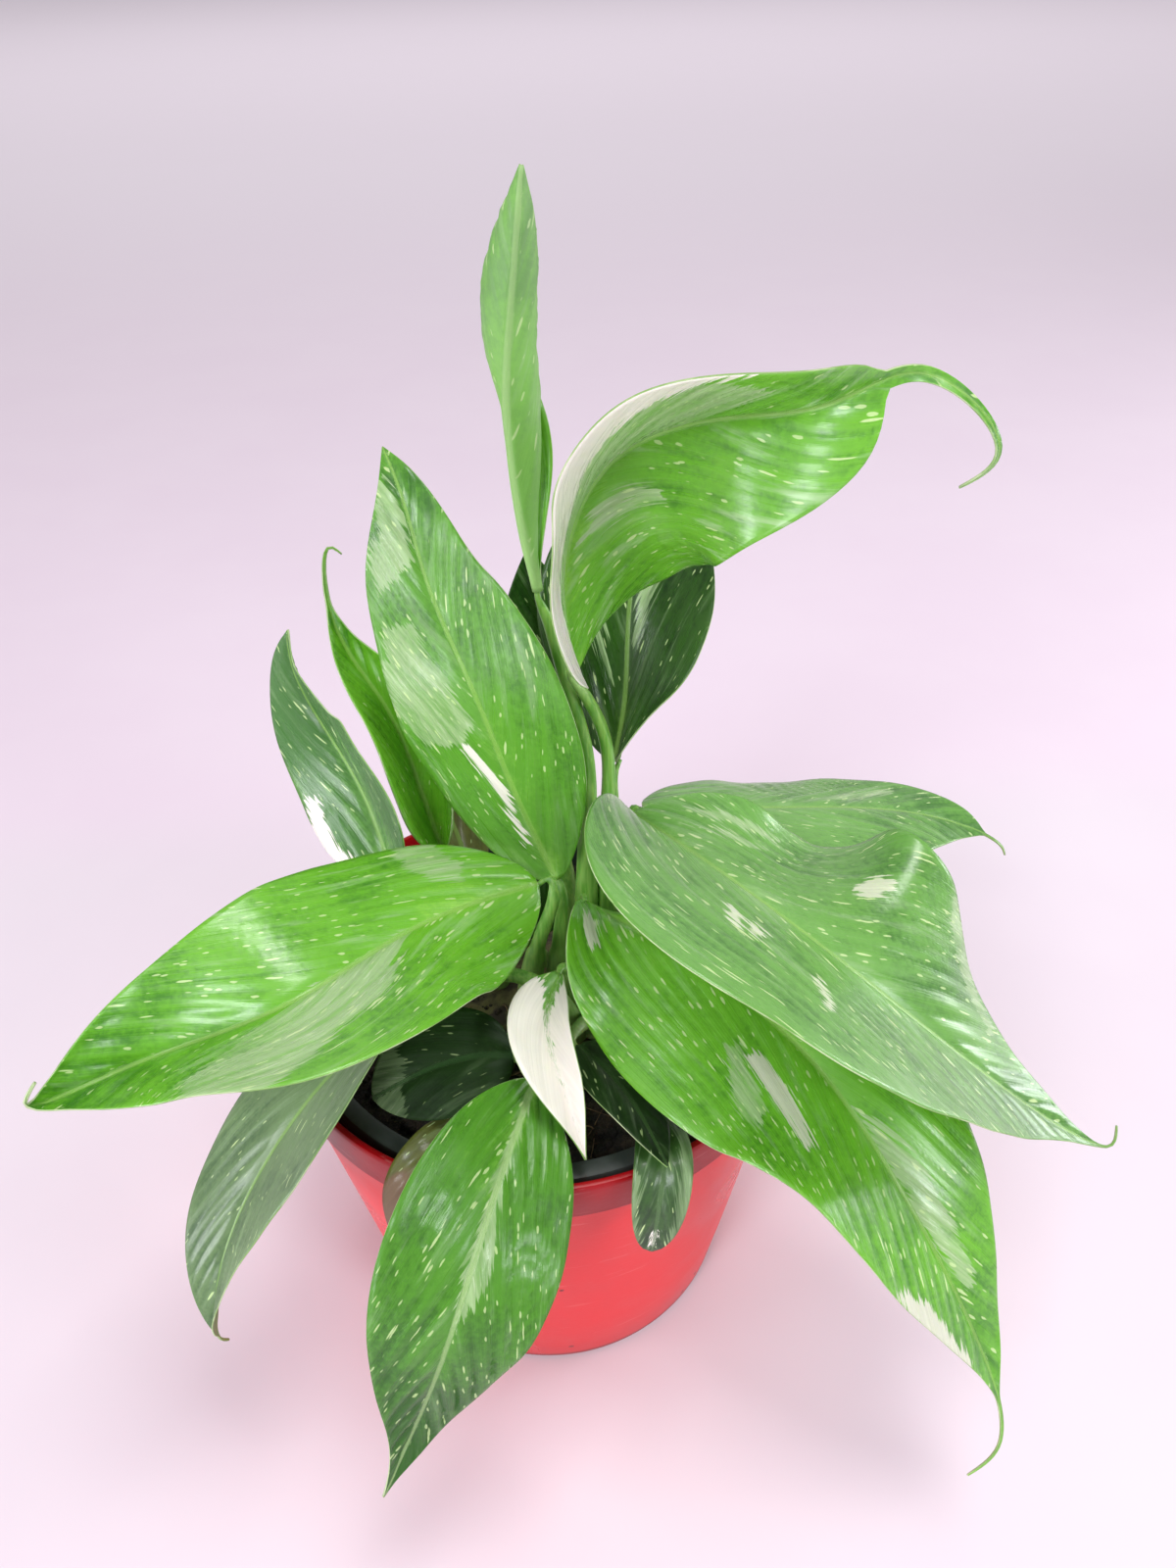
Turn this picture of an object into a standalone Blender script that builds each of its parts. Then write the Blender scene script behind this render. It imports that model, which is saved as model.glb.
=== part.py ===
"""A variegated peace lily in its nursery pot, standing in a translucent red cover pot.

Everything below is in millimetres and is written to the meshes in metres. The origin is the centre
of the cover pot's foot, +Z is up, and the plant's best side faces -Y.
"""
import math

import bmesh
import bpy
import numpy as np
from mathutils import Matrix, Vector

MM = 0.001
GAP = 0.3                       # clearance between pieces that rest on each other

# Cover pot
COVER_FOOT_RADIUS = 54.0
COVER_BAND_RADIUS = 70.0        # outer radius of the wall where the rim band starts
COVER_BAND_HEIGHT = 99.2
COVER_RIM_RADIUS = 71.6
COVER_HEIGHT = 112.0
COVER_WALL = 1.2
COVER_FLOOR = 2.0
FOOT_ROUND = 1.0                # both pots curve in by this much at their feet
BAND_STEP = 1.0                 # the rim band stands out from the wall
RIM_ROUND = 0.6

# Nursery pot
NURSERY_FOOT_RADIUS = 48.0
NURSERY_MOUTH_RADIUS = 61.3     # inner radius at the lip
NURSERY_LIP_RADIUS = 66.4
NURSERY_HEIGHT = 108.0          # top of the lip above the foot of the cover pot
NURSERY_WALL = 1.0
NURSERY_FLOOR = 1.5
FLOOR_ROUND = 0.3               # extra height of the inside corner at the floor
LIP_SKIRT = 8.0
LIP_ROUND = 0.5
DRAIN_HOLE_COUNT = 6
DRAIN_HOLE_RADIUS = 3.5
DRAIN_RING_RADIUS = 32.0
DRAIN_CUT_DEPTH = 8.0

# Soil and the rootstock that the stems grow from
SOIL_EDGE = 97.0
SOIL_TOP = 101.0
SOIL_SHOULDER_SHARE = 0.8       # of the edge radius, where the soil has risen by SOIL_SHOULDER_RISE
SOIL_SHOULDER_RISE = 2.6
SOIL_FLAT_SHARE = 0.6           # of the edge radius, inside which the soil is level
CROWN_CENTRE = (6.0, -2.0)
CROWN_RADIUS = 30.0
CROWN_TOP = 102.8
CROWN_EDGE = 1.0
CROWN_SHOULDER_SHARE = 0.65
CROWN_SHOULDER_DROP = 0.2

POT_SEGMENTS = 48
DRAIN_SEGMENTS = 12

# Leaves
BLADE_THICKNESS = 0.6
BLADE_ROWS = 20                 # rows of points along a blade
STEM_POINTS = 10
STEM_FOOT_RADIUS = 2.5
STEM_TOP_RADIUS = 1.4
STEM_RISE = 1.5                 # a stem rises straight from the crown over this height
STEM_LEAD_IN = 3.0              # and runs straight towards the blade over this length
STEM_END_GAP = 0.5              # left between a stem's end and its blade
MARGIN = 0.15                   # half width of a blade at its very tip
TAIL = 1.2                      # extra half width of the drip tip where it leaves the blade
TAIL_TAPER = 0.6

# One entry for each leaf. stem: points from the crown up to just short of the blade. midrib: points
# from the blade's base to its tip. face: which way the upper side looks, at even steps along the
# midrib. fold: how far both halves lift out of flat, in degrees. curl: how much further the left and
# the right half bend upwards by their edges. half: the half width, reached at the fraction "widest"
# of the blade; round: low for a blunt base, high for a pointed one. blade: the fraction of the
# midrib that the blade takes, the rest being its drip tip. left: width of the left half against the
# right. across: faces across the blade.
LEAVES = {
    "spear": dict(
        stem=[(13, 5, 104), (15, 6, 150), (15, 9, 180), (10, 12, 201), (7, 12, 215)],
        midrib=[(5, 12, 222), (2, 9, 246), (1, 6, 270), (3, 4, 290), (6, 4, 311)],
        face=[(0.9, 0.4, 0), (0.9, 0.5, 0), (0, 1, 0), (0.1, 1, 0)],
        fold=(40, 30, 10, 20), curl=((120, 140, 100, 60), (110, 120, 150, 80)),
        half=15.5, widest=0.6, round=1.6, left=0.75, across=10),
    "arching": dict(
        stem=[(20, 6, 104), (20, 9, 150), (21, 11, 172), (18, 10, 188)],
        midrib=[(13, 7, 202), (11, -5, 238), (21, -9, 261), (41, -22, 273), (57, -33, 279),
                (71, -35, 284), (83, -43, 274), (80, -37, 264)],
        face=[(0.7, -0.4, 0.5), (0.5, -0.9, 0.1), (0.3, -0.9, 0.2)],
        fold=(33, 43, 7), curl=((-3, -2, -17), (-14, -5, -16)),
        half=28, widest=0.51, round=0.77, blade=0.76),
    "tall_left": dict(
        stem=[(5, -2, 104), (6, -3, 125)],
        midrib=[(6, -1, 144), (-3, 5, 168), (-12, 8, 200), (-20, 18, 221), (-24, 24, 240),
                (-28, 34, 249)],
        face=[(-0.3, -0.7, 0.6), (-0.4, -0.8, 0.4), (-0.3, -0.8, 0.5)],
        fold=(3, 7, 13), curl=((-15, -13, -13), (-13, -10, -8)),
        half=21.5, widest=0.42, round=0.79),
    "long_left": dict(
        stem=[(-3, -4, 104), (1, -7, 130), (5, -8, 146)],
        midrib=[(1, -8, 150), (-29, -23, 152), (-57, -47, 154), (-91, -54, 146), (-108, -67, 151),
                (-105, -66, 157)],
        face=[(-0.5, -0.5, 0.7), (0.2, -0.1, 1), (0.4, -0.5, 0.8)],
        fold=(-7, 23, 45), curl=((-17, -4, -2), (-18, -4, 5)),
        half=28.5, widest=0.41, round=0.63, blade=0.95),
    "big_right": dict(
        stem=[(27, -4, 104), (27, 4, 140), (24, 5, 157)],
        midrib=[(26, 1, 163), (46, -30, 167), (80, -50, 145), (123, -61, 108), (139, -63, 99),
                (140, -61, 104)],
        face=[(0.3, 0.1, 1), (0.1, 0.4, 0.9), (0.2, -0.1, 1), (0.3, -0.1, 0.9), (0.1, -0.5, 0.9)],
        fold=(42, 4, 23, 9, 19), curl=((-5, -14, -7, -13, -6), (2, -13, -8, -2, -9)),
        half=43, widest=0.34, round=0.83, blade=0.95, across=6),
    "low_right": dict(
        stem=[(13, -8, 104), (13, -6, 125)],
        midrib=[(15, -10, 143), (38, -34, 143), (63, -50, 126), (86, -80, 98), (104, -102, 58),
                (103, -110, 49), (94, -115, 48)],
        face=[(0.7, -0.7, 0.2), (0.5, -0.9, 0.2), (0.5, -0.7, 0.5), (0.3, -0.7, 0.6)],
        fold=(5, 23, 19, 6), curl=((-45, -60, -16, -10), (-18, -7, -8, -11)),
        half=33, widest=0.33, round=0.58, blade=0.88, across=6),
    "front": dict(
        stem=[(2, -24, 104), (0, -34, 118)],
        midrib=[(-3, -48, 122), (-14, -78, 118), (-24, -97, 101), (-35, -102, 70), (-44, -110, 54)],
        face=[(0.1, -0.8, 0.6), (0, -1, 0), (0.2, -1, -0.2)],
        fold=(20, 4, 15), curl=((-4, -11, -9), (-3, -18, -4)),
        half=20, widest=0.38, round=0.85),
    "low_left": dict(
        stem=[(8, -18, 104), (1, -20, 124), (-8, -19, 129), (-19, -22, 132)],
        midrib=[(-30, -28, 133), (-50, -40, 124), (-73, -53, 99), (-84, -67, 79), (-86, -73, 64),
                (-85, -71, 58)],
        face=[(-0.8, 0, 0.6), (-0.7, -0.2, 0.6), (-0.7, -0.4, 0.6)],
        fold=(14, 14, 35), curl=((-4, -6, -1), (-13, -12, -3)),
        half=22, widest=0.43, round=0.76, blade=0.94),
    "back_left": dict(
        stem=[(-12, 4, 104), (-26, 6, 128)],
        midrib=[(-37, 6, 141), (-44, 23, 158), (-54, 37, 171), (-60, 41, 188), (-59, 41, 199)],
        face=[(-0.5, -0.8, 0.2), (-0.7, -0.7, 0.2), (-0.7, -0.6, 0.4)],
        fold=(20, 22, 16), curl=((-7, -12, -10), (-5, 3, -6)),
        half=20, widest=0.38, round=0.71),
    "curled_left": dict(
        stem=[(-10, 13, 104), (-18, 19, 124)],
        midrib=[(-25, 22, 138), (-29, 26, 155), (-35, 31, 178), (-44, 38, 193), (-48, 43, 208),
                (-46, 46, 219), (-43, 46, 217)],
        face=[(0.6, -0.8, 0.2), (0.6, -0.8, 0.3), (0.2, -0.9, 0.4)],
        fold=(40, 35, 15), curl=((0, 0, 0), (110, 60, 0)),
        half=15, widest=0.35, round=0.7, blade=0.8, across=8),
    "back_right": dict(
        stem=[(22, 13, 104), (23, 14, 140)],
        midrib=[(23, 16, 169), (27, 27, 182), (29, 36, 203), (33, 43, 224), (35, 48, 242)],
        face=[(-0.8, -0.6, 0), (-0.5, -0.8, 0.1), (-0.2, -1, 0.2)],
        fold=(22, 15, 9), curl=((-10, -10, -10), (1, -7, -13)),
        half=24, widest=0.45, round=0.74),
    "far_right": dict(
        stem=[(29, 6, 104), (29, 13, 130)],
        midrib=[(31, 19, 151), (61, 24, 144), (95, 33, 134), (129, 40, 120), (143, 35, 114),
                (146, 35, 109)],
        face=[(-0.1, 0.1, 1), (-0.2, 0, 1), (-0.1, -0.3, 0.9)],
        fold=(6, -2, 16), curl=((-17, -20, -6), (-10, -13, -10)),
        half=23, widest=0.45, round=0.75, blade=0.91),
    "back_centre": dict(
        stem=[(9, 14, 104), (9, 30, 138)],
        midrib=[(8, 38, 160), (8, 43, 177), (6, 48, 197), (4, 52, 213)],
        face=[(-0.1, -0.9, 0.3)],
        fold=(15, 10, 5), curl=((-10, -10, -10), (-10, -10, -10)),
        half=12, widest=0.42, round=0.75),
    "centre": dict(
        stem=[(0, 10, 104), (0, 10, 107)],
        midrib=[(0, 11, 112), (-2, 11, 124), (-4, 13, 134), (-7, 17, 143)],
        face=[(0, -0.9, 0.4)],
        fold=(15, 10, 5), curl=((-10, -10, -10), (-10, -10, -10)),
        half=10, widest=0.42, round=0.75),
    "inner_left": dict(
        stem=[(-4, -14, 104), (-7, -26, 116)],
        midrib=[(-8, -38, 120), (-16, -42, 126), (-28, -45, 126), (-42, -47, 119)],
        face=[(0, -0.5, 0.85)],
        fold=(15, 10, 5), curl=((-15, -15, -10), (-15, -15, -10)),
        half=12, widest=0.5, round=0.7),
    "inner_right": dict(
        stem=[(14, -17, 104), (10, -27, 117)],
        midrib=[(9, -36, 120), (16, -48, 122), (22, -61, 122), (26, -73, 120)],
        face=[(0.4, -0.4, 0.8)],
        fold=(15, 10, 5), curl=((-15, -15, -10), (-15, -15, -10)),
        half=8, widest=0.4, round=0.7),
    "over_rim": dict(
        stem=[(21, -14, 104), (25, -36, 110)],
        midrib=[(26, -54, 112), (26, -67, 116), (24, -76, 109), (22, -79, 96)],
        face=[(0, -0.3, 0.9), (0, -0.8, 0.6), (0, -1, 0.2)],
        fold=(15, 10, 5), curl=((-15, -15, -10), (-15, -15, -10)),
        half=6, widest=0.5, round=0.5),
    "old_rim": dict(
        stem=[(-8, -22, 104), (-13, -36, 112)],
        midrib=[(-18, -49, 113), (-27, -61, 116), (-34, -67, 110), (-38, -69, 94)],
        face=[(-0.3, -0.4, 0.8), (-0.4, -0.7, 0.5), (-0.5, -0.8, 0.2)],
        fold=(15, 10, 5), curl=((-15, -15, -10), (-15, -15, -10)),
        half=5.5, widest=0.5, round=0.6),
    "white": dict(
        stem=[(9, -12, 104), (8, -15, 122)],
        midrib=[(5, -21, 130), (1, -39, 131), (4, -54, 126), (8, -66, 115)],
        face=[(0.2, -0.3, 0.9), (0.2, -0.3, 0.9), (0.3, -0.5, 0.8)],
        fold=(20, 30, 35), curl=((20, 30, 20), (-10, -20, 10)),
        half=10, widest=0.45, round=1.1, left=0.6),
    "old_back": dict(
        stem=[(-2, 20, 104), (-10, 30, 107)],
        midrib=[(-18, 37, 112), (-21, 43, 121), (-24, 47, 130), (-27, 50, 138)],
        face=[(0.2, -0.9, 0.3)],
        fold=(15, 10, 5), curl=((-10, -10, -10), (-10, -10, -10)),
        half=7, widest=0.42, round=0.75),
}

COLOURS = {
    # name: (red, green, blue, roughness)
    "leaf_green": (0.10, 0.30, 0.05, 0.35),
    "leaf_dark": (0.04, 0.14, 0.04, 0.40),
    "leaf_cream": (0.85, 0.78, 0.68, 0.45),
    "leaf_olive": (0.22, 0.22, 0.07, 0.55),
    "stem_green": (0.22, 0.42, 0.10, 0.40),
    "cover_pot_red": (0.85, 0.15, 0.17, 0.30),
    "nursery_pot_grey": (0.10, 0.12, 0.11, 0.55),
    "soil_black": (0.03, 0.02, 0.015, 0.95),
    "crown_brown": (0.25, 0.22, 0.10, 0.80),
}
LEAF_COLOUR = {
    "white": "leaf_cream",
    "old_rim": "leaf_olive",
    "old_back": "leaf_olive",
    "inner_left": "leaf_dark",
    "inner_right": "leaf_dark",
    "over_rim": "leaf_dark",
    "centre": "leaf_dark",
    "back_centre": "leaf_dark",
}


def clear_scene():
    for obj in list(bpy.data.objects):
        bpy.data.objects.remove(obj, do_unlink=True)


def make_material(name):
    red, green, blue, roughness = COLOURS[name]
    material = bpy.data.materials.new(name)
    material.use_nodes = True
    shader = material.node_tree.nodes["Principled BSDF"]
    shader.inputs["Base Color"].default_value = (red, green, blue, 1.0)
    shader.inputs["Roughness"].default_value = roughness
    shader.inputs["Metallic"].default_value = 0.0
    material.diffuse_color = (red, green, blue, 1.0)
    return material


def add_object(name, data, material):
    obj = bpy.data.objects.new(name, data)
    bpy.context.scene.collection.objects.link(obj)
    data.materials.append(material)
    return obj


def turned(name, profile, material, centre=(0.0, 0.0)):
    """Turn a closed (radius, height) outline about a vertical axis into one solid."""
    mesh = bpy.data.meshes.new(name)
    bm = bmesh.new()
    ring = [bm.verts.new((radius * MM, 0.0, height * MM)) for radius, height in profile]
    edges = [bm.edges.new((a, b)) for a, b in zip(ring, ring[1:])]
    bmesh.ops.spin(bm, geom=ring + edges, axis=(0, 0, 1), cent=(0, 0, 0),
                   angle=math.tau, steps=POT_SEGMENTS, use_merge=True)
    bmesh.ops.remove_doubles(bm, verts=bm.verts, dist=0.00001)
    bmesh.ops.translate(bm, verts=bm.verts, vec=(centre[0] * MM, centre[1] * MM, 0.0))
    bmesh.ops.recalc_face_normals(bm, faces=bm.faces)
    bm.to_mesh(mesh)
    bm.free()
    mesh.shade_smooth()
    mesh.set_sharp_from_angle(angle=math.radians(35))
    return add_object(name, mesh, material)


def natural_spline(knots, values, at):
    """Smooth curve through the values at the knots, with free ends, read at the places given."""
    values = np.asarray(values, float)
    if len(knots) == 2:
        share = ((at - knots[0]) / (knots[1] - knots[0])).reshape(-1, *[1] * (values.ndim - 1))
        return values[0] + (values[1] - values[0]) * share
    step = np.diff(knots)
    slope = np.diff(values, axis=0) / step.reshape(-1, *[1] * (values.ndim - 1))
    count = len(knots)
    system = np.eye(count)
    wanted = np.zeros_like(values)
    for i in range(1, count - 1):
        system[i, i - 1:i + 2] = step[i - 1], 2 * (step[i - 1] + step[i]), step[i]
        wanted[i] = 6 * (slope[i] - slope[i - 1])
    bend = np.linalg.solve(system, wanted.reshape(count, -1)).reshape(values.shape)
    i = np.clip(np.searchsorted(knots, at) - 1, 0, count - 2)
    shape = (-1, *[1] * (values.ndim - 1))
    h = step[i].reshape(shape)
    b = ((at - knots[i]) / step[i]).reshape(shape)
    a = 1 - b
    return (a * values[i] + b * values[i + 1]
            + ((a ** 3 - a) * bend[i] + (b ** 3 - b) * bend[i + 1]) * h ** 2 / 6)


def stations(values, at):
    """Values given at even steps from 0 to 1, read smoothly at the places given."""
    if len(values) == 1:
        return np.repeat(np.asarray(values, float), len(at), axis=0)
    return natural_spline(np.linspace(0, 1, len(values)), values, at)


def smooth_path(points, count):
    """Evenly spaced points and unit tangents on the smooth curve through the points given."""
    points = np.asarray(points, float)
    chords = np.linalg.norm(np.diff(points, axis=0), axis=1)
    knots = np.concatenate([[0.0], np.cumsum(np.sqrt(chords))])
    fine = natural_spline(knots, points, np.linspace(0, knots[-1], 400))
    run = np.concatenate([[0.0], np.cumsum(np.linalg.norm(np.diff(fine, axis=0), axis=1))])
    even = np.linspace(0, run[-1], count)
    path = np.stack([np.interp(even, run, fine[:, k]) for k in range(3)], axis=1)
    tangents = np.gradient(path, axis=0)
    return path, tangents / np.linalg.norm(tangents, axis=1, keepdims=True)


def half_width(along, leaf):
    """Half width of a blade: blunt or pointed at its base, drawn out into a drip tip."""
    place = np.clip(along / leaf.get("blade", 1.0), 0, 1)
    widest = leaf["widest"]
    base = leaf["round"]
    tip = base * (1 - widest) / widest
    body = leaf["half"] * (place / widest) ** base * ((1 - place) / (1 - widest)) ** tip
    return body + TAIL * (1 - along) ** TAIL_TAPER + MARGIN


def blade_surface(leaf):
    """Points of the blade's middle sheet, as rows from base to tip and columns from left to right."""
    along = np.linspace(0, 1, BLADE_ROWS)
    midrib, tangent = smooth_path(leaf["midrib"], BLADE_ROWS)
    upper = stations(leaf["face"], along)
    upper -= (upper * tangent).sum(axis=1, keepdims=True) * tangent
    upper /= np.linalg.norm(upper, axis=1, keepdims=True)
    right = np.cross(tangent, upper)
    steps = leaf.get("across", 4) // 2
    fold = np.radians(stations(leaf["fold"], along))
    width = half_width(along, leaf)
    rows = np.zeros((BLADE_ROWS, 2 * steps + 1, 3))
    rows[:, steps] = midrib
    for side, curl_stations, share in ((-1, leaf["curl"][0], leaf.get("left", 1.0)),
                                       (1, leaf["curl"][1], 1.0)):
        curl = np.radians(stations(curl_stations, along))
        point = midrib.copy()
        for k in range(steps):
            lift = (fold + curl * (k + 0.5) / steps)[:, None]
            stride = (width * share / steps)[:, None]
            point = point + stride * (side * np.cos(lift) * right + np.sin(lift) * upper)
            rows[:, steps + side * (k + 1)] = point
    return rows, tangent[0]


def make_blade(name, rows, material):
    height, width = rows.shape[:2]
    corners = [(r * width + c, r * width + c + 1, (r + 1) * width + c + 1, (r + 1) * width + c)
               for r in range(height - 1) for c in range(width - 1)]
    mesh = bpy.data.meshes.new(name)
    mesh.from_pydata([Vector(p) * MM for p in rows.reshape(-1, 3)], [], corners)
    mesh.shade_smooth()
    blade = add_object(name, mesh, material)
    shell = blade.modifiers.new("thickness", "SOLIDIFY")
    shell.thickness = BLADE_THICKNESS * MM
    shell.offset = 0.0
    return blade


def make_stem(name, leaf, base_tangent, material):
    """A tapering stalk that rises straight from the crown and meets the blade end to end."""
    foot = Vector(leaf["stem"][0])
    base = Vector(leaf["midrib"][0])
    lead = Vector(base_tangent)
    top = base - lead * STEM_END_GAP
    lead_in = base - lead * STEM_LEAD_IN
    bends = [foot + Vector((0, 0, STEM_RISE)), *map(Vector, leaf["stem"][1:]), lead_in]
    path = [foot, *smooth_path(bends, STEM_POINTS - 2)[0], top]
    curve = bpy.data.curves.new(name, "CURVE")
    curve.dimensions = "3D"
    curve.bevel_depth = MM
    curve.bevel_resolution = 1
    curve.use_fill_caps = True
    spline = curve.splines.new("POLY")
    spline.points.add(STEM_POINTS - 1)
    for i, place in enumerate(path):
        spline.points[i].co = (*(Vector(place) * MM), 1.0)
        share = i / (STEM_POINTS - 1)
        spline.points[i].radius = STEM_FOOT_RADIUS + (STEM_TOP_RADIUS - STEM_FOOT_RADIUS) * share
    spline.use_smooth = True
    return add_object(name, curve, material)


def make_cover_pot(material):
    wall = COVER_WALL
    profile = [
        (0, 0),
        (COVER_FOOT_RADIUS - FOOT_ROUND, 0),
        (COVER_FOOT_RADIUS, FOOT_ROUND),
        (COVER_BAND_RADIUS, COVER_BAND_HEIGHT),
        (COVER_BAND_RADIUS + BAND_STEP, COVER_BAND_HEIGHT + BAND_STEP / 2),
        (COVER_RIM_RADIUS, COVER_HEIGHT - RIM_ROUND),
        (COVER_RIM_RADIUS - RIM_ROUND, COVER_HEIGHT),
        (COVER_RIM_RADIUS - wall - RIM_ROUND, COVER_HEIGHT),
        (COVER_BAND_RADIUS - wall, COVER_BAND_HEIGHT),
        (COVER_FOOT_RADIUS - wall, COVER_FLOOR),
        (0, COVER_FLOOR),
    ]
    return turned("cover_pot", profile, material)


def make_nursery_pot(material):
    wall = NURSERY_WALL
    foot = COVER_FLOOR + GAP
    mouth = NURSERY_MOUTH_RADIUS
    lip = NURSERY_LIP_RADIUS
    top = NURSERY_HEIGHT
    profile = [
        (0, foot),
        (NURSERY_FOOT_RADIUS - FOOT_ROUND, foot),
        (NURSERY_FOOT_RADIUS, foot + FOOT_ROUND),
        (mouth + wall, top - LIP_SKIRT),
        (mouth + wall + GAP, top - wall),
        (lip - wall, top - wall),
        (lip - wall, top - LIP_SKIRT),
        (lip, top - LIP_SKIRT),
        (lip, top - LIP_ROUND),
        (lip - LIP_ROUND, top),
        (mouth + LIP_ROUND, top),
        (mouth, top - LIP_ROUND),
        (NURSERY_FOOT_RADIUS - wall, foot + NURSERY_FLOOR + FLOOR_ROUND),
        (0, foot + NURSERY_FLOOR),
    ]
    pot = turned("nursery_pot", profile, material)
    holes = bmesh.new()
    for i in range(DRAIN_HOLE_COUNT):
        turn = Matrix.Rotation(math.tau * i / DRAIN_HOLE_COUNT, 4, "Z")
        place = turn @ Matrix.Translation((DRAIN_RING_RADIUS * MM, 0, foot * MM))
        bmesh.ops.create_cone(holes, cap_ends=True, segments=DRAIN_SEGMENTS,
                              radius1=DRAIN_HOLE_RADIUS * MM, radius2=DRAIN_HOLE_RADIUS * MM,
                              depth=DRAIN_CUT_DEPTH * MM, matrix=place)
    mesh = bpy.data.meshes.new("drain_hole_cutter")
    holes.to_mesh(mesh)
    holes.free()
    cutter = add_object("drain_hole_cutter", mesh, material)
    cutter.hide_render = True
    cutter.display_type = "WIRE"
    cut = pot.modifiers.new("drain_holes", "BOOLEAN")
    cut.operation = "DIFFERENCE"
    cut.solver = "EXACT"
    cut.object = cutter
    return pot


def make_soil(material):
    """The root ball: it fills the nursery pot to a slightly domed top."""
    floor = COVER_FLOOR + GAP + NURSERY_FLOOR + FLOOR_ROUND + GAP
    wall_slope = (NURSERY_MOUTH_RADIUS - NURSERY_FOOT_RADIUS + NURSERY_WALL) / (NURSERY_HEIGHT - floor)
    foot_radius = NURSERY_FOOT_RADIUS - NURSERY_WALL - 2 * GAP
    edge_radius = foot_radius + wall_slope * (SOIL_EDGE - floor)
    profile = [
        (0, floor),
        (foot_radius, floor),
        (edge_radius, SOIL_EDGE),
        (edge_radius * SOIL_SHOULDER_SHARE, SOIL_EDGE + SOIL_SHOULDER_RISE),
        (edge_radius * SOIL_FLAT_SHARE, SOIL_TOP),
        (0, SOIL_TOP),
    ]
    return turned("soil", profile, material)


def make_crown(material):
    """The low rootstock on the soil, from which every stem rises."""
    foot = SOIL_TOP + GAP
    profile = [
        (0, foot),
        (CROWN_RADIUS, foot),
        (CROWN_RADIUS - CROWN_EDGE, foot + CROWN_EDGE),
        (CROWN_RADIUS * CROWN_SHOULDER_SHARE, CROWN_TOP - CROWN_SHOULDER_DROP),
        (0, CROWN_TOP),
    ]
    return turned("crown", profile, material, CROWN_CENTRE)


def build():
    clear_scene()
    paint = {name: make_material(name) for name in COLOURS}
    make_cover_pot(paint["cover_pot_red"])
    make_nursery_pot(paint["nursery_pot_grey"])
    make_soil(paint["soil_black"])
    make_crown(paint["crown_brown"])
    for name, leaf in LEAVES.items():
        rows, base_tangent = blade_surface(leaf)
        make_blade("leaf_" + name, rows, paint[LEAF_COLOUR.get(name, "leaf_green")])
        make_stem("stem_" + name, leaf, base_tangent, paint["stem_green"])


build()
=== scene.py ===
import math

import bmesh
import bpy
import numpy as np
from mathutils import Matrix, Vector, noise


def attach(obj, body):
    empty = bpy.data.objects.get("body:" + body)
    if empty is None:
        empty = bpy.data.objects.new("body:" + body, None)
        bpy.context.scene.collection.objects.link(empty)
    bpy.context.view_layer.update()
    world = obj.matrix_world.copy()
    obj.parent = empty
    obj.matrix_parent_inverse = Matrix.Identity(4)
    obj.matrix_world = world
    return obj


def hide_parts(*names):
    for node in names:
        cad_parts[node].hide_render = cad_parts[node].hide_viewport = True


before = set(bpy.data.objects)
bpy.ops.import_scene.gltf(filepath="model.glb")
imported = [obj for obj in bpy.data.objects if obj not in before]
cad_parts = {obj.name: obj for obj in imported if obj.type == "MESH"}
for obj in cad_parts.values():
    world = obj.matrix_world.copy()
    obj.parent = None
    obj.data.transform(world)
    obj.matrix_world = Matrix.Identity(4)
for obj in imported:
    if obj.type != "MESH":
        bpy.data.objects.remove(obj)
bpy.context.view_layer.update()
mm = 0.001


def putNode(tree, kind, inputs=None, **settings):
    made = tree.nodes.new(kind)
    for key, value in settings.items():
        setattr(made, key, value)
    for key, value in (inputs or {}).items():
        if isinstance(value, bpy.types.NodeSocket):
            tree.links.new(value, made.inputs[key])
        else:
            made.inputs[key].default_value = value
    return made


def maths(tree, operation, first, second=0.0):
    return putNode(tree, "ShaderNodeMath", {0: first, 1: second}, operation=operation).outputs[0]


def ramp(tree, value, low, high, toLow=0.0, toHigh=1.0):
    return putNode(tree, "ShaderNodeMapRange", {0: value, 1: low, 2: high, 3: toLow, 4: toHigh},
                   interpolation_type="SMOOTHSTEP").outputs[0]


def blendColours(tree, share, first, second, mode="MIX"):
    firstColour = first if isinstance(first, bpy.types.NodeSocket) else (*first, 1.0)
    secondColour = second if isinstance(second, bpy.types.NodeSocket) else (*second, 1.0)
    made = putNode(tree, "ShaderNodeMix", {0: share, 6: firstColour, 7: secondColour},
                   data_type="RGBA", blend_type=mode)
    return made.outputs[2]


def noiseAt(tree, vector, scale, detail=3.0, roughness=0.55):
    return putNode(tree, "ShaderNodeTexNoise",
                   {"Vector": vector, "Scale": scale, "Detail": detail, "Roughness": roughness}).outputs[0]


def stretched(tree, vector, scales, shift):
    scaled = putNode(tree, "ShaderNodeVectorMath", {0: vector, 1: scales}, operation="MULTIPLY").outputs[0]
    return putNode(tree, "ShaderNodeVectorMath", {0: scaled, 1: shift}, operation="ADD").outputs[0]


def readFloat(tree, name):
    return putNode(tree, "ShaderNodeAttribute", attribute_name=name).outputs["Fac"]


def newPaint(name):
    paint = bpy.data.materials.new(name)
    paint.use_nodes = True
    tree = paint.node_tree
    return paint, tree, tree.nodes["Principled BSDF"]


def objectPlace(tree):
    return putNode(tree, "ShaderNodeTexCoord").outputs["Object"]


def giveSurface(tree, shader, colour, rough):
    tree.links.new(colour, shader.inputs["Base Color"])
    tree.links.new(rough, shader.inputs["Roughness"])


def giveBump(tree, shader, height, strength, distance):
    bump = putNode(tree, "ShaderNodeBump", {"Height": height, "Strength": strength, "Distance": distance})
    tree.links.new(bump.outputs[0], shader.inputs["Normal"])


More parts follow.
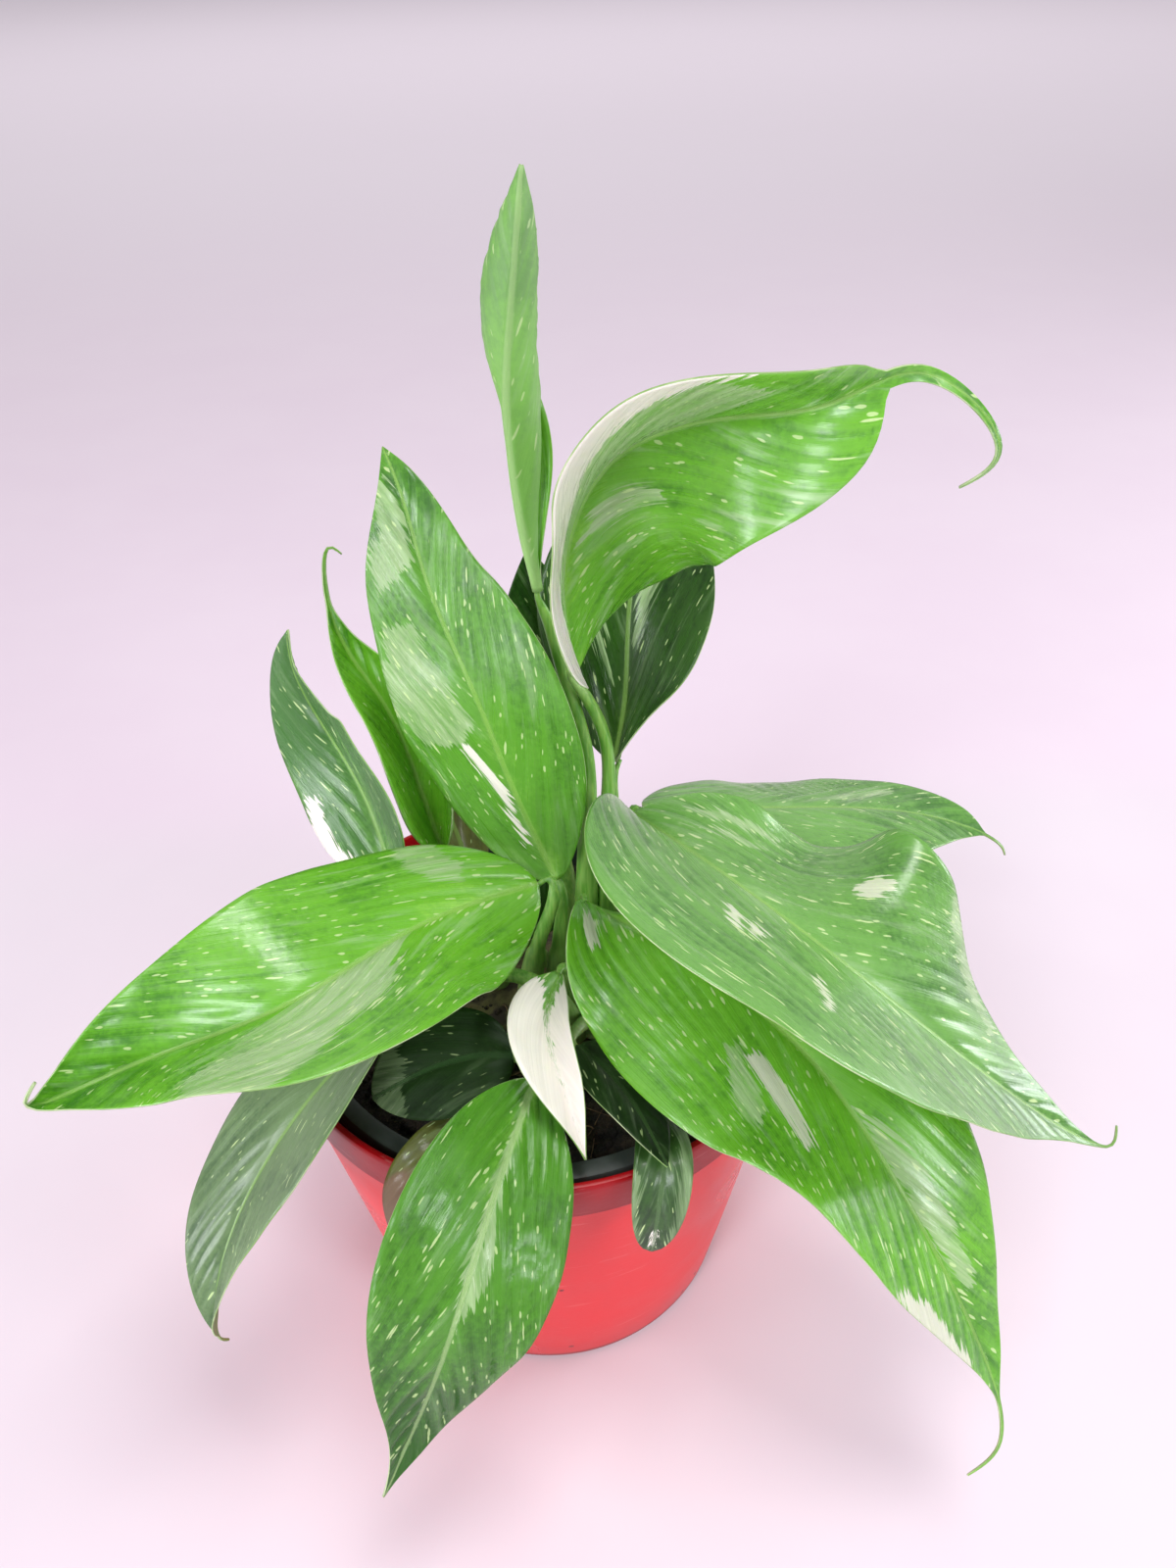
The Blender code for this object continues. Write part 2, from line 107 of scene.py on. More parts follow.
def glowInside(shader, weight, scale, radius=None):
    shader.inputs["Subsurface Weight"].default_value = weight
    shader.inputs["Subsurface Scale"].default_value = scale
    if radius:
        shader.inputs["Subsurface Radius"].default_value = radius


leafFinish = {
    "fleckAcross": 5.2, "fleckAlong": 6.0,     # spacing of the short flecks across and along the veins
    "streakAcross": 6.5, "streakAlong": 16.0,
    "hazeAcross": 16.0, "hazeAlong": 30.0,
    "veinAcross": 2.4, "veinAlong": 45.0,
    "raggedness": 4.0,                         # how far a patch's edge wanders, mm
    "roughSpread": 0.14, "underRough": (0.46, 0.60), "coatRoughness": 0.20,
    "bump": 0.5, "bumpDepth": 0.00030,
    "glow": 0.12, "glowDepth": 0.0012, "glowColour": (0.6, 1.0, 0.25),
}

tints = {
    # deep, mid and light green of the upper side
    "fresh": ((0.040, 0.190, 0.008), (0.145, 0.430, 0.022), (0.300, 0.620, 0.060)),
    "mid": ((0.030, 0.135, 0.008), (0.110, 0.330, 0.028), (0.250, 0.520, 0.075)),
    "leafy": ((0.022, 0.100, 0.006), (0.075, 0.250, 0.018), (0.210, 0.470, 0.060)),
    "cool": ((0.045, 0.160, 0.022), (0.140, 0.350, 0.060), (0.280, 0.540, 0.140)),
    # dark and deepest are painted shade, for the leaves that lie behind and under others: back_right,
    # back_centre, centre, over_rim, inner_left and inner_right
    "dark": ((0.006, 0.030, 0.003), (0.028, 0.090, 0.010), (0.100, 0.215, 0.040)),
    "deepestShade": ((0.003, 0.014, 0.001), (0.010, 0.034, 0.004), (0.035, 0.085, 0.018)),
    "dusty": ((0.045, 0.110, 0.030), (0.130, 0.230, 0.080), (0.240, 0.370, 0.165)),
    "olive": ((0.040, 0.045, 0.006), (0.110, 0.120, 0.018), (0.230, 0.260, 0.050)),
}
paleGreen = (0.390, 0.550, 0.270)
creamWhite = (0.900, 0.840, 0.770)
fleckColour = (0.560, 0.710, 0.330)
# silvery green, partly the leaf's own tone and partly painted sheen
sheenAndSilverGreen = (0.380, 0.560, 0.280)
speckInPale = (0.660, 0.740, 0.520)
midribGreen = (0.300, 0.550, 0.100)
dryBrown = (0.160, 0.090, 0.040)
undersideGreen = (0.240, 0.420, 0.150)
undersideShare = 0.42


def paintLeaf(name, look, seed, under=False):
    paint, tree, shader = newPaint(name)
    deep, mid, light = tints[look.get("tint", "mid")]
    veins = putNode(tree, "ShaderNodeAttribute", attribute_name="veins").outputs["Vector"]
    kind = leafFinish

    def streaks(across, along, shift, detail=2.0):
        shifts = (seed * 3.7 + shift, shift * 2.3, seed * 1.9)
        at = stretched(tree, veins, (1 / across, 1 / along, 1.0), shifts)
        return noiseAt(tree, at, 1.0, detail)

    def dashes(across, along, shift, radius):
        shifts = (seed * 2.9 + shift, shift * 1.7, seed * 0.37)
        at = stretched(tree, veins, (1 / across, 1 / along, 1.0), shifts)
        noiseInputs = {"Vector": at, "Scale": 1.6, "Detail": 2.0}
        bent = putNode(tree, "ShaderNodeTexNoise", noiseInputs).outputs["Color"]
        at = putNode(tree, "ShaderNodeVectorMath", {0: bent, 1: (0.55, 0.25, 0.0), 2: at},
                     operation="MULTIPLY_ADD").outputs[0]
        cell = putNode(tree, "ShaderNodeTexVoronoi", {"Vector": at, "Scale": 1.0}).outputs["Distance"]
        return ramp(tree, cell, radius * 0.72, radius, 1.0, 0.0)

    tone = readFloat(tree, "tone")
    haze = streaks(kind["hazeAcross"], kind["hazeAlong"], 1.0)
    fine = streaks(kind["veinAcross"], kind["veinAlong"], 2.0, 3.0)
    place = objectPlace(tree)
    cloudy = noiseAt(tree, place, 75.0, 3.0)
    grain = noiseAt(tree, place, 750.0, 3.0, 0.65)

    # green of the blade: lighter by the midrib and its base, softly mottled
    level = maths(tree, "ADD", tone, ramp(tree, haze, 0.35, 0.65, -0.05, 0.05))
    level = maths(tree, "ADD", level, ramp(tree, cloudy, 0.35, 0.65, -0.09, 0.09))
    level = maths(tree, "ADD", level, ramp(tree, fine, 0.35, 0.65, -0.035, 0.035))
    level = maths(tree, "ADD", level, ramp(tree, grain, 0.35, 0.65, -0.06, 0.06))
    lower = blendColours(tree, ramp(tree, level, 0.0, 0.5), deep, mid)
    green = blendColours(tree, ramp(tree, level, 0.5, 1.0), lower, light)

    # silvery streaks along the veins, partly the leaf's own silvery tone and partly painted sheen
    sheenAndSilver = ramp(tree, streaks(9.0, 22.0, 9.0, 4.0), 0.54, 0.70)
    sheenAndSilver = maths(tree, "MULTIPLY", sheenAndSilver, look.get("haze", 0.25) * 0.8)
    green = blendColours(tree, sheenAndSilver, green, sheenAndSilverGreen)

    # pale and cream patches with edges drawn out along the veins
    ragged = maths(tree, "SUBTRACT", streaks(2.2, 26.0, 5.0, 3.0), 0.5)
    ragged = maths(tree, "MULTIPLY", ragged, kind["raggedness"] * 2)
    speck = streaks(1.2, 7.0, 6.0, 2.0)
    pale = ramp(tree, maths(tree, "ADD", readFloat(tree, "pale"), ragged), -0.25, 0.35)
    inPale = ramp(tree, speck, 0.60, 0.66)
    paleHere = blendColours(tree, ramp(tree, fine, 0.35, 0.65), paleGreen, tuple(0.82 * c for c in paleGreen))
    paleHere = blendColours(tree, maths(tree, "MULTIPLY", inPale, 0.55), paleHere, speckInPale)
    pale = maths(tree, "MULTIPLY", pale, ramp(tree, streaks(6.0, 16.0, 10.0, 4.0), 0.36, 0.58, 0.45, 1.0))
    green = blendColours(tree, maths(tree, "MULTIPLY", pale, look.get("paleShare", 0.85)), green, paleHere)

    # flecks, short and long
    short = dashes(kind["fleckAcross"], kind["fleckAlong"], 7.0, 0.10 + 0.13 * look.get("flecks", 0.5))
    long = dashes(kind["streakAcross"], kind["streakAlong"], 8.0, 0.09 + 0.11 * look.get("streaks", 0.4))
    mask = maths(tree, "MAXIMUM", maths(tree, "MULTIPLY", short, 0.85), long)
    green = blendColours(tree, maths(tree, "MULTIPLY", mask, look.get("fleckShare", 0.9)), green, fleckColour)

    cream = ramp(tree, maths(tree, "ADD", readFloat(tree, "cream"), ragged), -0.2, 0.3)
    creamHere = blendColours(tree, ramp(tree, fine, 0.3, 0.7), look.get("cream", creamWhite),
                             tuple(0.9 * c for c in look.get("cream", creamWhite)))
    colour = blendColours(tree, cream, green, creamHere)

    # midrib line and a brown drip tip
    rib = maths(tree, "SUBTRACT", 1.0, ramp(tree, readFloat(tree, "rib"), 0.55, 1.25))
    rib = maths(tree, "MULTIPLY", rib, look.get("ribShare", 0.5))
    colour = blendColours(tree, rib, colour, look.get("rib", midribGreen))
    dry = maths(tree, "ADD", readFloat(tree, "dry"), ramp(tree, haze, 0.3, 0.7, -0.2, 0.2))
    colour = blendColours(tree, ramp(tree, dry, 0.4, 0.75), colour, dryBrown)

    if under:
        colour = blendColours(tree, undersideShare, colour, undersideGreen)
        rough = ramp(tree, fine, 0.3, 0.7, *kind["underRough"])
    else:
        smoothest = look.get("rough", 0.24)
        rough = ramp(tree, streaks(3.0, 40.0, 4.0), 0.3, 0.7, smoothest, smoothest + kind["roughSpread"])
    giveSurface(tree, shader, colour, rough)
    height = maths(tree, "ADD", fine, maths(tree, "MULTIPLY", grain, 0.30))
    giveBump(tree, shader, height, kind["bump"], kind["bumpDepth"])
    shader.inputs["Specular IOR Level"].default_value = look.get("gloss", 0.5)
    shader.inputs["Coat Weight"].default_value = 0.0 if under else look.get("wax", 0.35)
    shader.inputs["Coat Roughness"].default_value = kind["coatRoughness"]
    glowInside(shader, kind["glow"], kind["glowDepth"], kind["glowColour"])
    return paint


def paintMargin():
    paint, tree, shader = newPaint("leafMargin")
    place = objectPlace(tree)
    patchy = noiseAt(tree, place, 90.0, 3.0)
    colour = blendColours(tree, ramp(tree, patchy, 0.4, 0.6), (0.22, 0.38, 0.10), (0.48, 0.58, 0.32))
    giveSurface(tree, shader, colour, ramp(tree, patchy, 0.3, 0.7, 0.4, 0.55))
    return paint


def naturalSpline(knots, values, at):
    values = np.asarray(values, float)
    shape = (-1, *[1] * (values.ndim - 1))
    if len(knots) == 2:
        share = (at - knots[0]) / (knots[1] - knots[0])
        return values[0] + (values[1] - values[0]) * share.reshape(shape)
    step = np.diff(knots)
    slope = np.diff(values, axis=0) / step.reshape(shape)
    count = len(knots)
    system = np.eye(count)
    wanted = np.zeros_like(values)
    for i in range(1, count - 1):
        system[i, i - 1:i + 2] = step[i - 1], 2 * (step[i - 1] + step[i]), step[i]
        wanted[i] = 6 * (slope[i] - slope[i - 1])
    bend = np.linalg.solve(system, wanted.reshape(count, -1)).reshape(values.shape)
    i = np.clip(np.searchsorted(knots, at) - 1, 0, count - 2)
    h = step[i].reshape(shape)
    b = ((at - knots[i]) / step[i]).reshape(shape)
    a = 1 - b
    bow = ((a ** 3 - a) * bend[i] + (b ** 3 - b) * bend[i + 1]) * h ** 2 / 6
    return a * values[i] + b * values[i + 1] + bow


def stations(values, at):
    if len(values) == 1:
        return np.repeat(np.asarray(values, float), len(at), axis=0)
    return naturalSpline(np.linspace(0, 1, len(values)), values, at)


def smoothPath(points, count):
    points = np.asarray(points, float)
    chords = np.linalg.norm(np.diff(points, axis=0), axis=1)
    knots = np.concatenate([[0.0], np.cumsum(np.sqrt(chords))])
    fine = naturalSpline(knots, points, np.linspace(0, knots[-1], 600))
    run = np.concatenate([[0.0], np.cumsum(np.linalg.norm(np.diff(fine, axis=0), axis=1))])
    even = np.linspace(0, run[-1], count)
    path = np.stack([np.interp(even, run, fine[:, k]) for k in range(3)], axis=1)
    tangents = np.gradient(path, axis=0)
    return path, tangents / np.linalg.norm(tangents, axis=1, keepdims=True), run[-1]


def smoothStep(low, high, value):
    share = np.clip((value - low) / (high - low), 0, 1)
    return share * share * (3 - 2 * share)


blade = {
    "rowSpacing": 1.35, "columnSpacing": 1.15,  # mm between the points of a blade
    "thickness": 0.32,
    "tail": 1.2, "tipMargin": 0.15,             # drawn-out drip tip
    "veinLean": 2.2, "veinBend": 1.4,           # how the side veins sweep forward
    "veinPitch": 12.0, "veinDepth": 0.36,
    "ribDepth": 0.5, "ribWidth": 1.3, "keel": 0.9, "keelWidth": 1.5,
    "waveLength": 47, "rippleLength": 21, "rippleShare": 0.4,
    "plainFold": (15, 10, 5), "plainCurl": ((-15, -15, -10), (-15, -15, -10)),
}

# Millimetres and degrees. stem and midrib: points from the crown to the tip. face: where the upper
# side looks. fold: how far both halves lift. curl: how much further the left and the right half
# bend by their edges. half: the half width, reached at the share "widest". patches: kind, side
# (-1 left, 1 right) and an outline of places along and across the blade.

leaves = {
    "spear": dict(
        stem=[(13, 5, 104), (15, 6, 150), (15, 9, 180), (10, 12, 201), (7, 12, 215)],
        midrib=[(5, 12, 222), (2, 9, 246), (1, 6, 270), (3, 4, 290), (6, 4, 311)],
        face=[(0.9, 0.4, 0), (0.9, 0.5, 0), (0, 1, 0), (0.1, 1, 0)],
        fold=(40, 30, 10, 20), curl=((120, 140, 100, 60), (110, 120, 150, 80)),
        half=15.5, widest=0.6, round=1.6, left=0.75,
        slot="leaf_green", look=dict(tint="fresh", flecks=0.5, haze=0.5, rib=(0.45, 0.62, 0.28)),
        wave=0.5, drop=0.0, tone=-0.05),
    "arching": dict(
        stem=[(20, 6, 104), (20, 9, 150), (21, 11, 172), (18, 10, 188)],
        midrib=[(13, 7, 202), (11, -5, 238), (21, -9, 261), (41, -22, 273), (57, -33, 279),
                (71, -35, 284), (83, -43, 274), (80, -37, 264)],
        face=[(0.7, -0.4, 0.5), (0.5, -0.9, 0.1), (0.3, -0.9, 0.2)],
        fold=(33, 43, 7), curl=((-3, -2, -17), (-14, -5, -16)),
        half=28, widest=0.51, round=0.77, blade=0.76,
        slot="leaf_green", patches=[
            ("cream", -1, [(2, 5), (20, 9), (35, 13), (49, 15.5), (69, 19), (82, 20.5), (97, 18.6), (106, 17),
                           (100, 28), (82, 36), (60, 40), (30, 36), (0, 20)]),
            ("cream", -1, [(50, 4), (62, 3), (72, 6), (74, 8), (62, 5.5)]),
            ("pale", -1, [(30, 2), (49, 1), (69, 1), (82, 1.5), (95, 5), (105, 10), (97, 20), (82, 22),
                          (69, 20),
                          (49, 17), (30, 13)]),
            ("pale", 1, [(42, 2), (52, 2.5), (62, 6), (70, 9), (69, 12), (58, 9), (47, 5)])],
        look=dict(tint="fresh", flecks=0.6, streaks=0.5, haze=0.8, paleShare=1.0, wax=0.6), wave=0.8,
        relax=(1, 50, 36, 260), ribbon=1.2),
    "tall_left": dict(
        stem=[(5, -2, 104), (6, -3, 125)],
        midrib=[(6, -1, 144), (-3, 5, 168), (-12, 8, 200), (-20, 18, 221), (-24, 24, 240),
                (-28, 34, 249)],
        face=[(-0.3, -0.7, 0.6), (-0.4, -0.8, 0.4), (-0.3, -0.8, 0.5)],
        fold=(3, 7, 13), curl=((-15, -13, -13), (-13, -10, -8)),
        half=21.5, widest=0.42, round=0.79,
        slot="leaf_green", patches=[
            ("pale", -1, [(92, 1), (100, 1), (112, 3), (111, 6), (99, 8), (92, 13), (86, 12), (88, 6)]),
            ("pale", -1, [(78, 7), (62, 5), (49, 4), (43, 8), (45, 17), (56, 22), (68, 21), (80, 14)]),
            ("cream", -1, [(45, 7), (34, 2.6), (24, 1.8), (12, 1.8), (12, 3.4), (24, 4), (33, 5.5),
                           (43, 9.5)])],
        look=dict(tint="mid", flecks=0.65, streaks=0.6, haze=0.35, gloss=0.4, wax=0.2), wave=1.0),
    "long_left": dict(
        stem=[(-3, -4, 104), (1, -7, 130), (5, -8, 146)],
        midrib=[(1, -8, 150), (-29, -23, 152), (-57, -47, 154), (-91, -54, 146), (-108, -67, 151),
                (-105, -66, 157)],
        face=[(-0.5, -0.5, 0.7), (0.2, -0.1, 1), (0.4, -0.5, 0.8)],
        fold=(-7, 23, 45), curl=((-17, -4, -2), (-18, -4, 5)),
        half=28.5, widest=0.41, round=0.63, blade=0.95,
        slot="leaf_green", patches=[
            ("pale", -1, [(36, 0), (52, 0), (66, 0), (78, 4), (91, 17), (90, 28), (78, 30), (70, 21),
                          (66, 17),
                          (53, 13.5), (48, 9)]),
            ("pale", 1, [(15, 12), (17, 7), (24, 11), (27, 20), (26, 27), (20, 25)])],
        look=dict(tint="fresh", flecks=0.65, streaks=0.5, haze=0.5), wave=0.8, relax=(1, 78, 34, 260)),
    "big_right": dict(
        stem=[(27, -4, 104), (27, 4, 140), (24, 5, 157)],
        midrib=[(26, 1, 163), (46, -30, 167), (80, -50, 145), (123, -61, 108), (139, -63, 99),
                (140, -61, 104)],
        face=[(0.3, 0.1, 1), (0.1, 0.4, 0.9), (0.2, -0.1, 1), (0.3, -0.1, 0.9), (0.1, -0.5, 0.9)],
        fold=(42, 4, 23, 9, 19), curl=((-5, -14, -7, -13, -6), (2, -13, -8, -2, -9)),
        half=43, widest=0.34, round=0.83, blade=0.95,
        slot="leaf_green", patches=[
            ("pale", -1, [(9, 9), (16, 17), (24, 25), (34, 32), (33, 28), (24, 20), (15, 12)]),
            ("pale", -1, [(13, 5), (20, 9), (30, 15), (34, 21), (30, 19), (20, 12)]),
            ("pale", -1, [(88, 34), (96, 31), (110, 22), (120, 15), (118, 12), (104, 19), (92, 26)]),
            ("cream", -1, [(66, 23), (70, 27.5), (74, 27), (75, 24), (70, 20.5), (66, 21)]),
            ("cream", 1, [(42, 12.5), (45, 14), (46.5, 19), (44.5, 21), (43, 17)]),
            ("cream", 1, [(47, 14.5), (50, 15), (49.5, 19), (47.5, 18.5)]),
            ("cream", 1, [(60, 19.5), (62.5, 18), (66.5, 25), (64, 27)])],
        look=dict(tint="cool", flecks=0.7, streaks=0.55, haze=0.4, cream=(0.62, 0.68, 0.48)), wave=0.9,
        relax=(-1, 52, 30, 220), humps=[(-1, 76, 11, 9)]),
    "low_right": dict(
        stem=[(13, -8, 104), (13, -6, 125)],
        midrib=[(15, -10, 143), (38, -34, 143), (63, -50, 126), (86, -80, 98), (104, -102, 58),
                (103, -110, 49), (94, -115, 48)],
        face=[(0.7, -0.7, 0.2), (0.5, -0.9, 0.2), (0.5, -0.7, 0.5), (0.3, -0.7, 0.6)],
        fold=(5, 23, 19, 6), curl=((-45, -60, -16, -10), (-18, -7, -8, -11)),
        half=33, widest=0.33, round=0.58, blade=0.88,
        slot="leaf_green", patches=[
            ("cream", 1, [(55, 11.5), (58, 8), (68, 10.5), (76, 13.5), (84, 17), (83, 19), (74, 17),
                          (66, 14.5)]),
            ("pale", 1, [(49, 12), (52, 10), (60, 14), (68, 18), (70, 24), (62, 24), (55, 19)]),
            ("pale", -1, [(84, 0.5), (90, 4), (98, 6.5), (105, 8), (112, 7.5), (119, 6.5), (127, 6.5),
                          (134, 6.5), (135, 3), (126, 1), (112, 0.5), (96, 0.5)]),
            ("cream", 1, [(119, 18), (121, 14), (128, 10.5), (140, 7.5), (150, 5), (152, 9), (138, 14),
                          (126, 18)]),
            ("cream", 1, [(6, 8), (8, 7), (12, 9.5), (11, 12.5), (8, 12)])],
        look=dict(tint="fresh", flecks=0.8, streaks=0.5, haze=0.3, cream=(0.62, 0.64, 0.50)),
        wave=0.8),
    "front": dict(
        stem=[(2, -24, 104), (0, -34, 118)],
        midrib=[(-3, -48, 122), (-14, -78, 118), (-24, -97, 101), (-35, -102, 70), (-44, -110, 54)],
        face=[(0.1, -0.8, 0.6), (0, -1, 0), (0.2, -1, -0.2)],
        fold=(20, 4, 15), curl=((-4, -11, -9), (-3, -18, -4)),
        half=20, widest=0.38, round=0.85,
        slot="leaf_green", patches=[
            # the pale band beside the midrib is the leaf's own; its widening at 40 to 52 mm along is a
            # painted highlight
            ("pale", 1, [(4, 0), (20, 1.2), (36, 1.5), (44, 2.6), (48, 2), (52, 0.8), (58, 0)]),
            ("pale", -1, [(4, 0), (20, 1.0), (33, 1.4), (40, 3.6), (48, 4.6), (52, 3), (60, 0)])],
        look=dict(tint="leafy", flecks=0.6, streaks=0.55, haze=0.25, fleckShare=0.75,
                  rib=(0.42, 0.60, 0.25), gloss=0.35, wax=0.15),
        wave=0.9, quilt=2.2, tipTone=0.38),
    "low_left": dict(
        stem=[(8, -18, 104), (1, -20, 124), (-8, -19, 129), (-19, -22, 132)],
        midrib=[(-30, -28, 133), (-50, -40, 124), (-73, -53, 99), (-84, -67, 79), (-86, -73, 64),
                (-85, -71, 58)],
        face=[(-0.8, 0, 0.6), (-0.7, -0.2, 0.6), (-0.7, -0.4, 0.6)],
        fold=(14, 14, 35), curl=((-4, -6, -1), (-13, -12, -3)),
        half=22, widest=0.43, round=0.76, blade=0.94,
        slot="leaf_green",
        look=dict(tint="dusty", flecks=0.25, streaks=0.3, haze=0.2, rough=0.42, gloss=0.35), wave=0.6),
    "back_left": dict(
        stem=[(-12, 4, 104), (-26, 6, 128)],
        midrib=[(-37, 6, 141), (-44, 23, 158), (-54, 37, 171), (-60, 41, 188), (-59, 41, 199)],
        face=[(-0.5, -0.8, 0.2), (-0.7, -0.7, 0.2), (-0.7, -0.6, 0.4)],
        fold=(20, 22, 16), curl=((-7, -12, -10), (-5, 3, -6)),
        half=20, widest=0.38, round=0.71,
        slot="leaf_green", patches=[
            ("cream", -1, [(33, 14), (25, 15.5), (16, 14.5), (8, 9), (4, 12), (11, 20), (25, 22), (36, 18)])],
        look=dict(tint="cool", flecks=0.4, streaks=0.5, haze=0.2, gloss=0.35, wax=0.15),
        wave=0.8, tone=-0.36),
    "curled_left": dict(
        stem=[(-10, 13, 104), (-18, 19, 124)],
        midrib=[(-25, 22, 138), (-29, 26, 155), (-35, 31, 178), (-44, 38, 193), (-48, 43, 208),
                (-46, 46, 219), (-43, 46, 217)],
        face=[(0.6, -0.8, 0.2), (0.6, -0.8, 0.3), (0.2, -0.9, 0.4)],
        fold=(40, 35, 15), curl=((0, 0, 0), (110, 60, 0)),
        half=15, widest=0.35, round=0.7, blade=0.8,
        slot="leaf_green",
        look=dict(tint="fresh", flecks=0.3, streaks=0.3, haze=0.2, gloss=0.35, wax=0.15), wave=0.5),
    "back_right": dict(
        stem=[(22, 13, 104), (23, 14, 140)],
        midrib=[(23, 16, 169), (27, 27, 182), (29, 36, 203), (33, 43, 224), (35, 48, 242)],
        face=[(-0.8, -0.6, 0), (-0.5, -0.8, 0.1), (-0.2, -1, 0.2)],
        fold=(22, 15, 9), curl=((-10, -10, -10), (1, -7, -13)),
        half=24, widest=0.45, round=0.74,
        slot="leaf_green", patches=[
            ("pale", 1, [(30, 2), (45, 3), (56, 6), (55, 10), (44, 7), (30, 4)]),
            ("pale", -1, [(20, 4), (34, 6), (42, 9), (30, 9)])],
        look=dict(tint="dark", flecks=0.45, streaks=0.45, haze=0.25, gloss=0.3, wax=0.15), wave=0.6),
    "far_right": dict(
        stem=[(29, 6, 104), (29, 13, 130)],
        midrib=[(31, 19, 151), (61, 24, 144), (95, 33, 134), (129, 40, 120), (143, 35, 114),
                (146, 35, 109)],
        face=[(-0.1, 0.1, 1), (-0.2, 0, 1), (-0.1, -0.3, 0.9)],
        fold=(6, -2, 16), curl=((-17, -20, -6), (-10, -13, -10)),
        half=23, widest=0.45, round=0.75, blade=0.91,
        slot="leaf_green", patches=[
            ("pale", -1, [(50, 3), (75, 9), (90, 11), (88, 8.5), (70, 5)])],
        look=dict(tint="cool", flecks=0.45, streaks=0.4, haze=0.3), wave=0.8),
    "back_centre": dict(
        stem=[(9, 14, 104), (9, 30, 138)],
        midrib=[(8, 38, 160), (8, 43, 177), (6, 48, 197), (4, 52, 213)],
        face=[(-0.1, -0.9, 0.3)],
        fold=(15, 10, 5), curl=((-10, -10, -10), (-10, -10, -10)),
        half=12, widest=0.42, round=0.75,
        slot="leaf_dark", look=dict(tint="dark", flecks=0.3, haze=0.3, gloss=0.3, wax=0.1), wave=0.4),
    # painted shade: this small leaf stands in the shade behind the stalks, so it takes the dark tint
    "centre": dict(
        stem=[(0, 10, 104), (0, 10, 107)],
        midrib=[(0, 11, 112), (-2, 11, 124), (-4, 13, 134), (-7, 17, 143)],
        face=[(0, -0.9, 0.4)],
        fold=(15, 10, 5), curl=((-10, -10, -10), (-10, -10, -10)),
        half=10, widest=0.42, round=0.75,
        slot="leaf_dark", look=dict(tint="dark", flecks=0.2, haze=0.2, gloss=0.3, wax=0.1), wave=0.3),
    # painted shade: inner_left and inner_right lie under other leaves and take the deepest tint
    "inner_left": dict(
        stem=[(-4, -14, 104), (-7, -26, 116)],
        midrib=[(-8, -38, 120), (-16, -42, 126), (-28, -45, 126), (-42, -47, 119)],
        face=[(0, -0.5, 0.85)],
        half=12, widest=0.5, round=0.7,
        slot="leaf_dark", patches=[
            ("pale", -1, [(31, 0), (40, 0), (40, 9), (33, 9)]),
            ("pale", 1, [(29, 0), (40, 0), (40, 12), (27, 12)])],
        look=dict(tint="deepestShade", flecks=0.1, streaks=0.1, haze=0.1, paleShare=0.25, fleckShare=0.35,
                  rib=(0.03, 0.09, 0.02), rough=0.50, gloss=0.2, wax=0.0), wave=0.4),
    "inner_right": dict(
        stem=[(14, -17, 104), (10, -27, 117)],
        midrib=[(9, -36, 120), (16, -48, 122), (22, -61, 122), (26, -73, 120)],
        face=[(0.4, -0.4, 0.8)],
        half=8, widest=0.4, round=0.7,
        slot="leaf_dark",
        look=dict(tint="deepestShade", flecks=0.35, streaks=0.3, haze=0.15, fleckShare=0.5,
                  rib=(0.04, 0.11, 0.02), rough=0.38, gloss=0.25, wax=0.1), wave=0.4),
    "over_rim": dict(
        stem=[(21, -14, 104), (25, -36, 110)],
        midrib=[(26, -54, 112), (26, -67, 116), (24, -76, 109), (22, -79, 96)],
        face=[(0, -0.3, 0.9), (0, -0.8, 0.6), (0, -1, 0.2)],
        half=6, widest=0.5, round=0.5,
        slot="leaf_dark", patches=[
            ("cream", 1, [(33, 0), (37, 0), (37, 1.0), (34, 1.0)]),
            ("pale", -1, [(6, 3.6), (30, 4.2), (36, 3), (36, 8), (6, 8)]),
            ("pale", 1, [(20, 4.4), (28, 4.4), (36, 3), (36, 8), (18, 8)])],
        look=dict(tint="dark", flecks=0.2, streaks=0.3, haze=0.5, paleShare=0.45, rib=(0.10, 0.20, 0.06),
                  rough=0.4), wave=0.3),
    "old_rim": dict(
        stem=[(-8, -22, 104), (-13, -36, 112)],
        midrib=[(-18, -49, 113), (-27, -61, 116), (-34, -67, 110), (-38, -69, 94)],
        face=[(-0.3, -0.4, 0.8), (-0.4, -0.7, 0.5), (-0.5, -0.8, 0.2)],
        half=5.5, widest=0.5, round=0.6,
        slot="leaf_olive", look=dict(tint="olive", flecks=0.2, streaks=0.2, haze=0.3, rough=0.5), wave=0.6,
        dryTip=0.55),
    "white": dict(
        stem=[(9, -12, 104), (8, -15, 122)],
        midrib=[(5, -21, 130), (1, -39, 131), (4, -54, 126), (8, -66, 115)],
        face=[(0.2, -0.3, 0.9), (0.2, -0.3, 0.9), (0.3, -0.5, 0.8)],
        fold=(20, 30, 35), curl=((20, 30, 20), (-10, -20, 10)),
        half=10, widest=0.45, round=1.1, left=0.6,
        slot="leaf_cream", patches=[
            ("cream", -1, [(2, 1.4), (10, 0.9), (16, 0), (60, -2), (60, 14), (-2, 14)]),
            ("cream", 1, [(6, 2.6), (13, 1.2), (20, 0), (60, -2), (60, 16), (2, 16)])],
        look=dict(tint="mid", flecks=0.2, haze=0.4, ribShare=0.0, rough=0.42), wave=0.4),
    "old_back": dict(
        stem=[(-2, 20, 104), (-10, 30, 107)],
        midrib=[(-18, 37, 112), (-21, 43, 121), (-24, 47, 130), (-27, 50, 138)],
        face=[(0.2, -0.9, 0.3)],
        fold=(15, 10, 5), curl=((-10, -10, -10), (-10, -10, -10)),
        half=7, widest=0.42, round=0.75,
        slot="leaf_olive", look=dict(tint="olive", flecks=0.1, streaks=0.2, haze=0.2, rough=0.5), wave=0.3,
        dryTip=0.8),
}


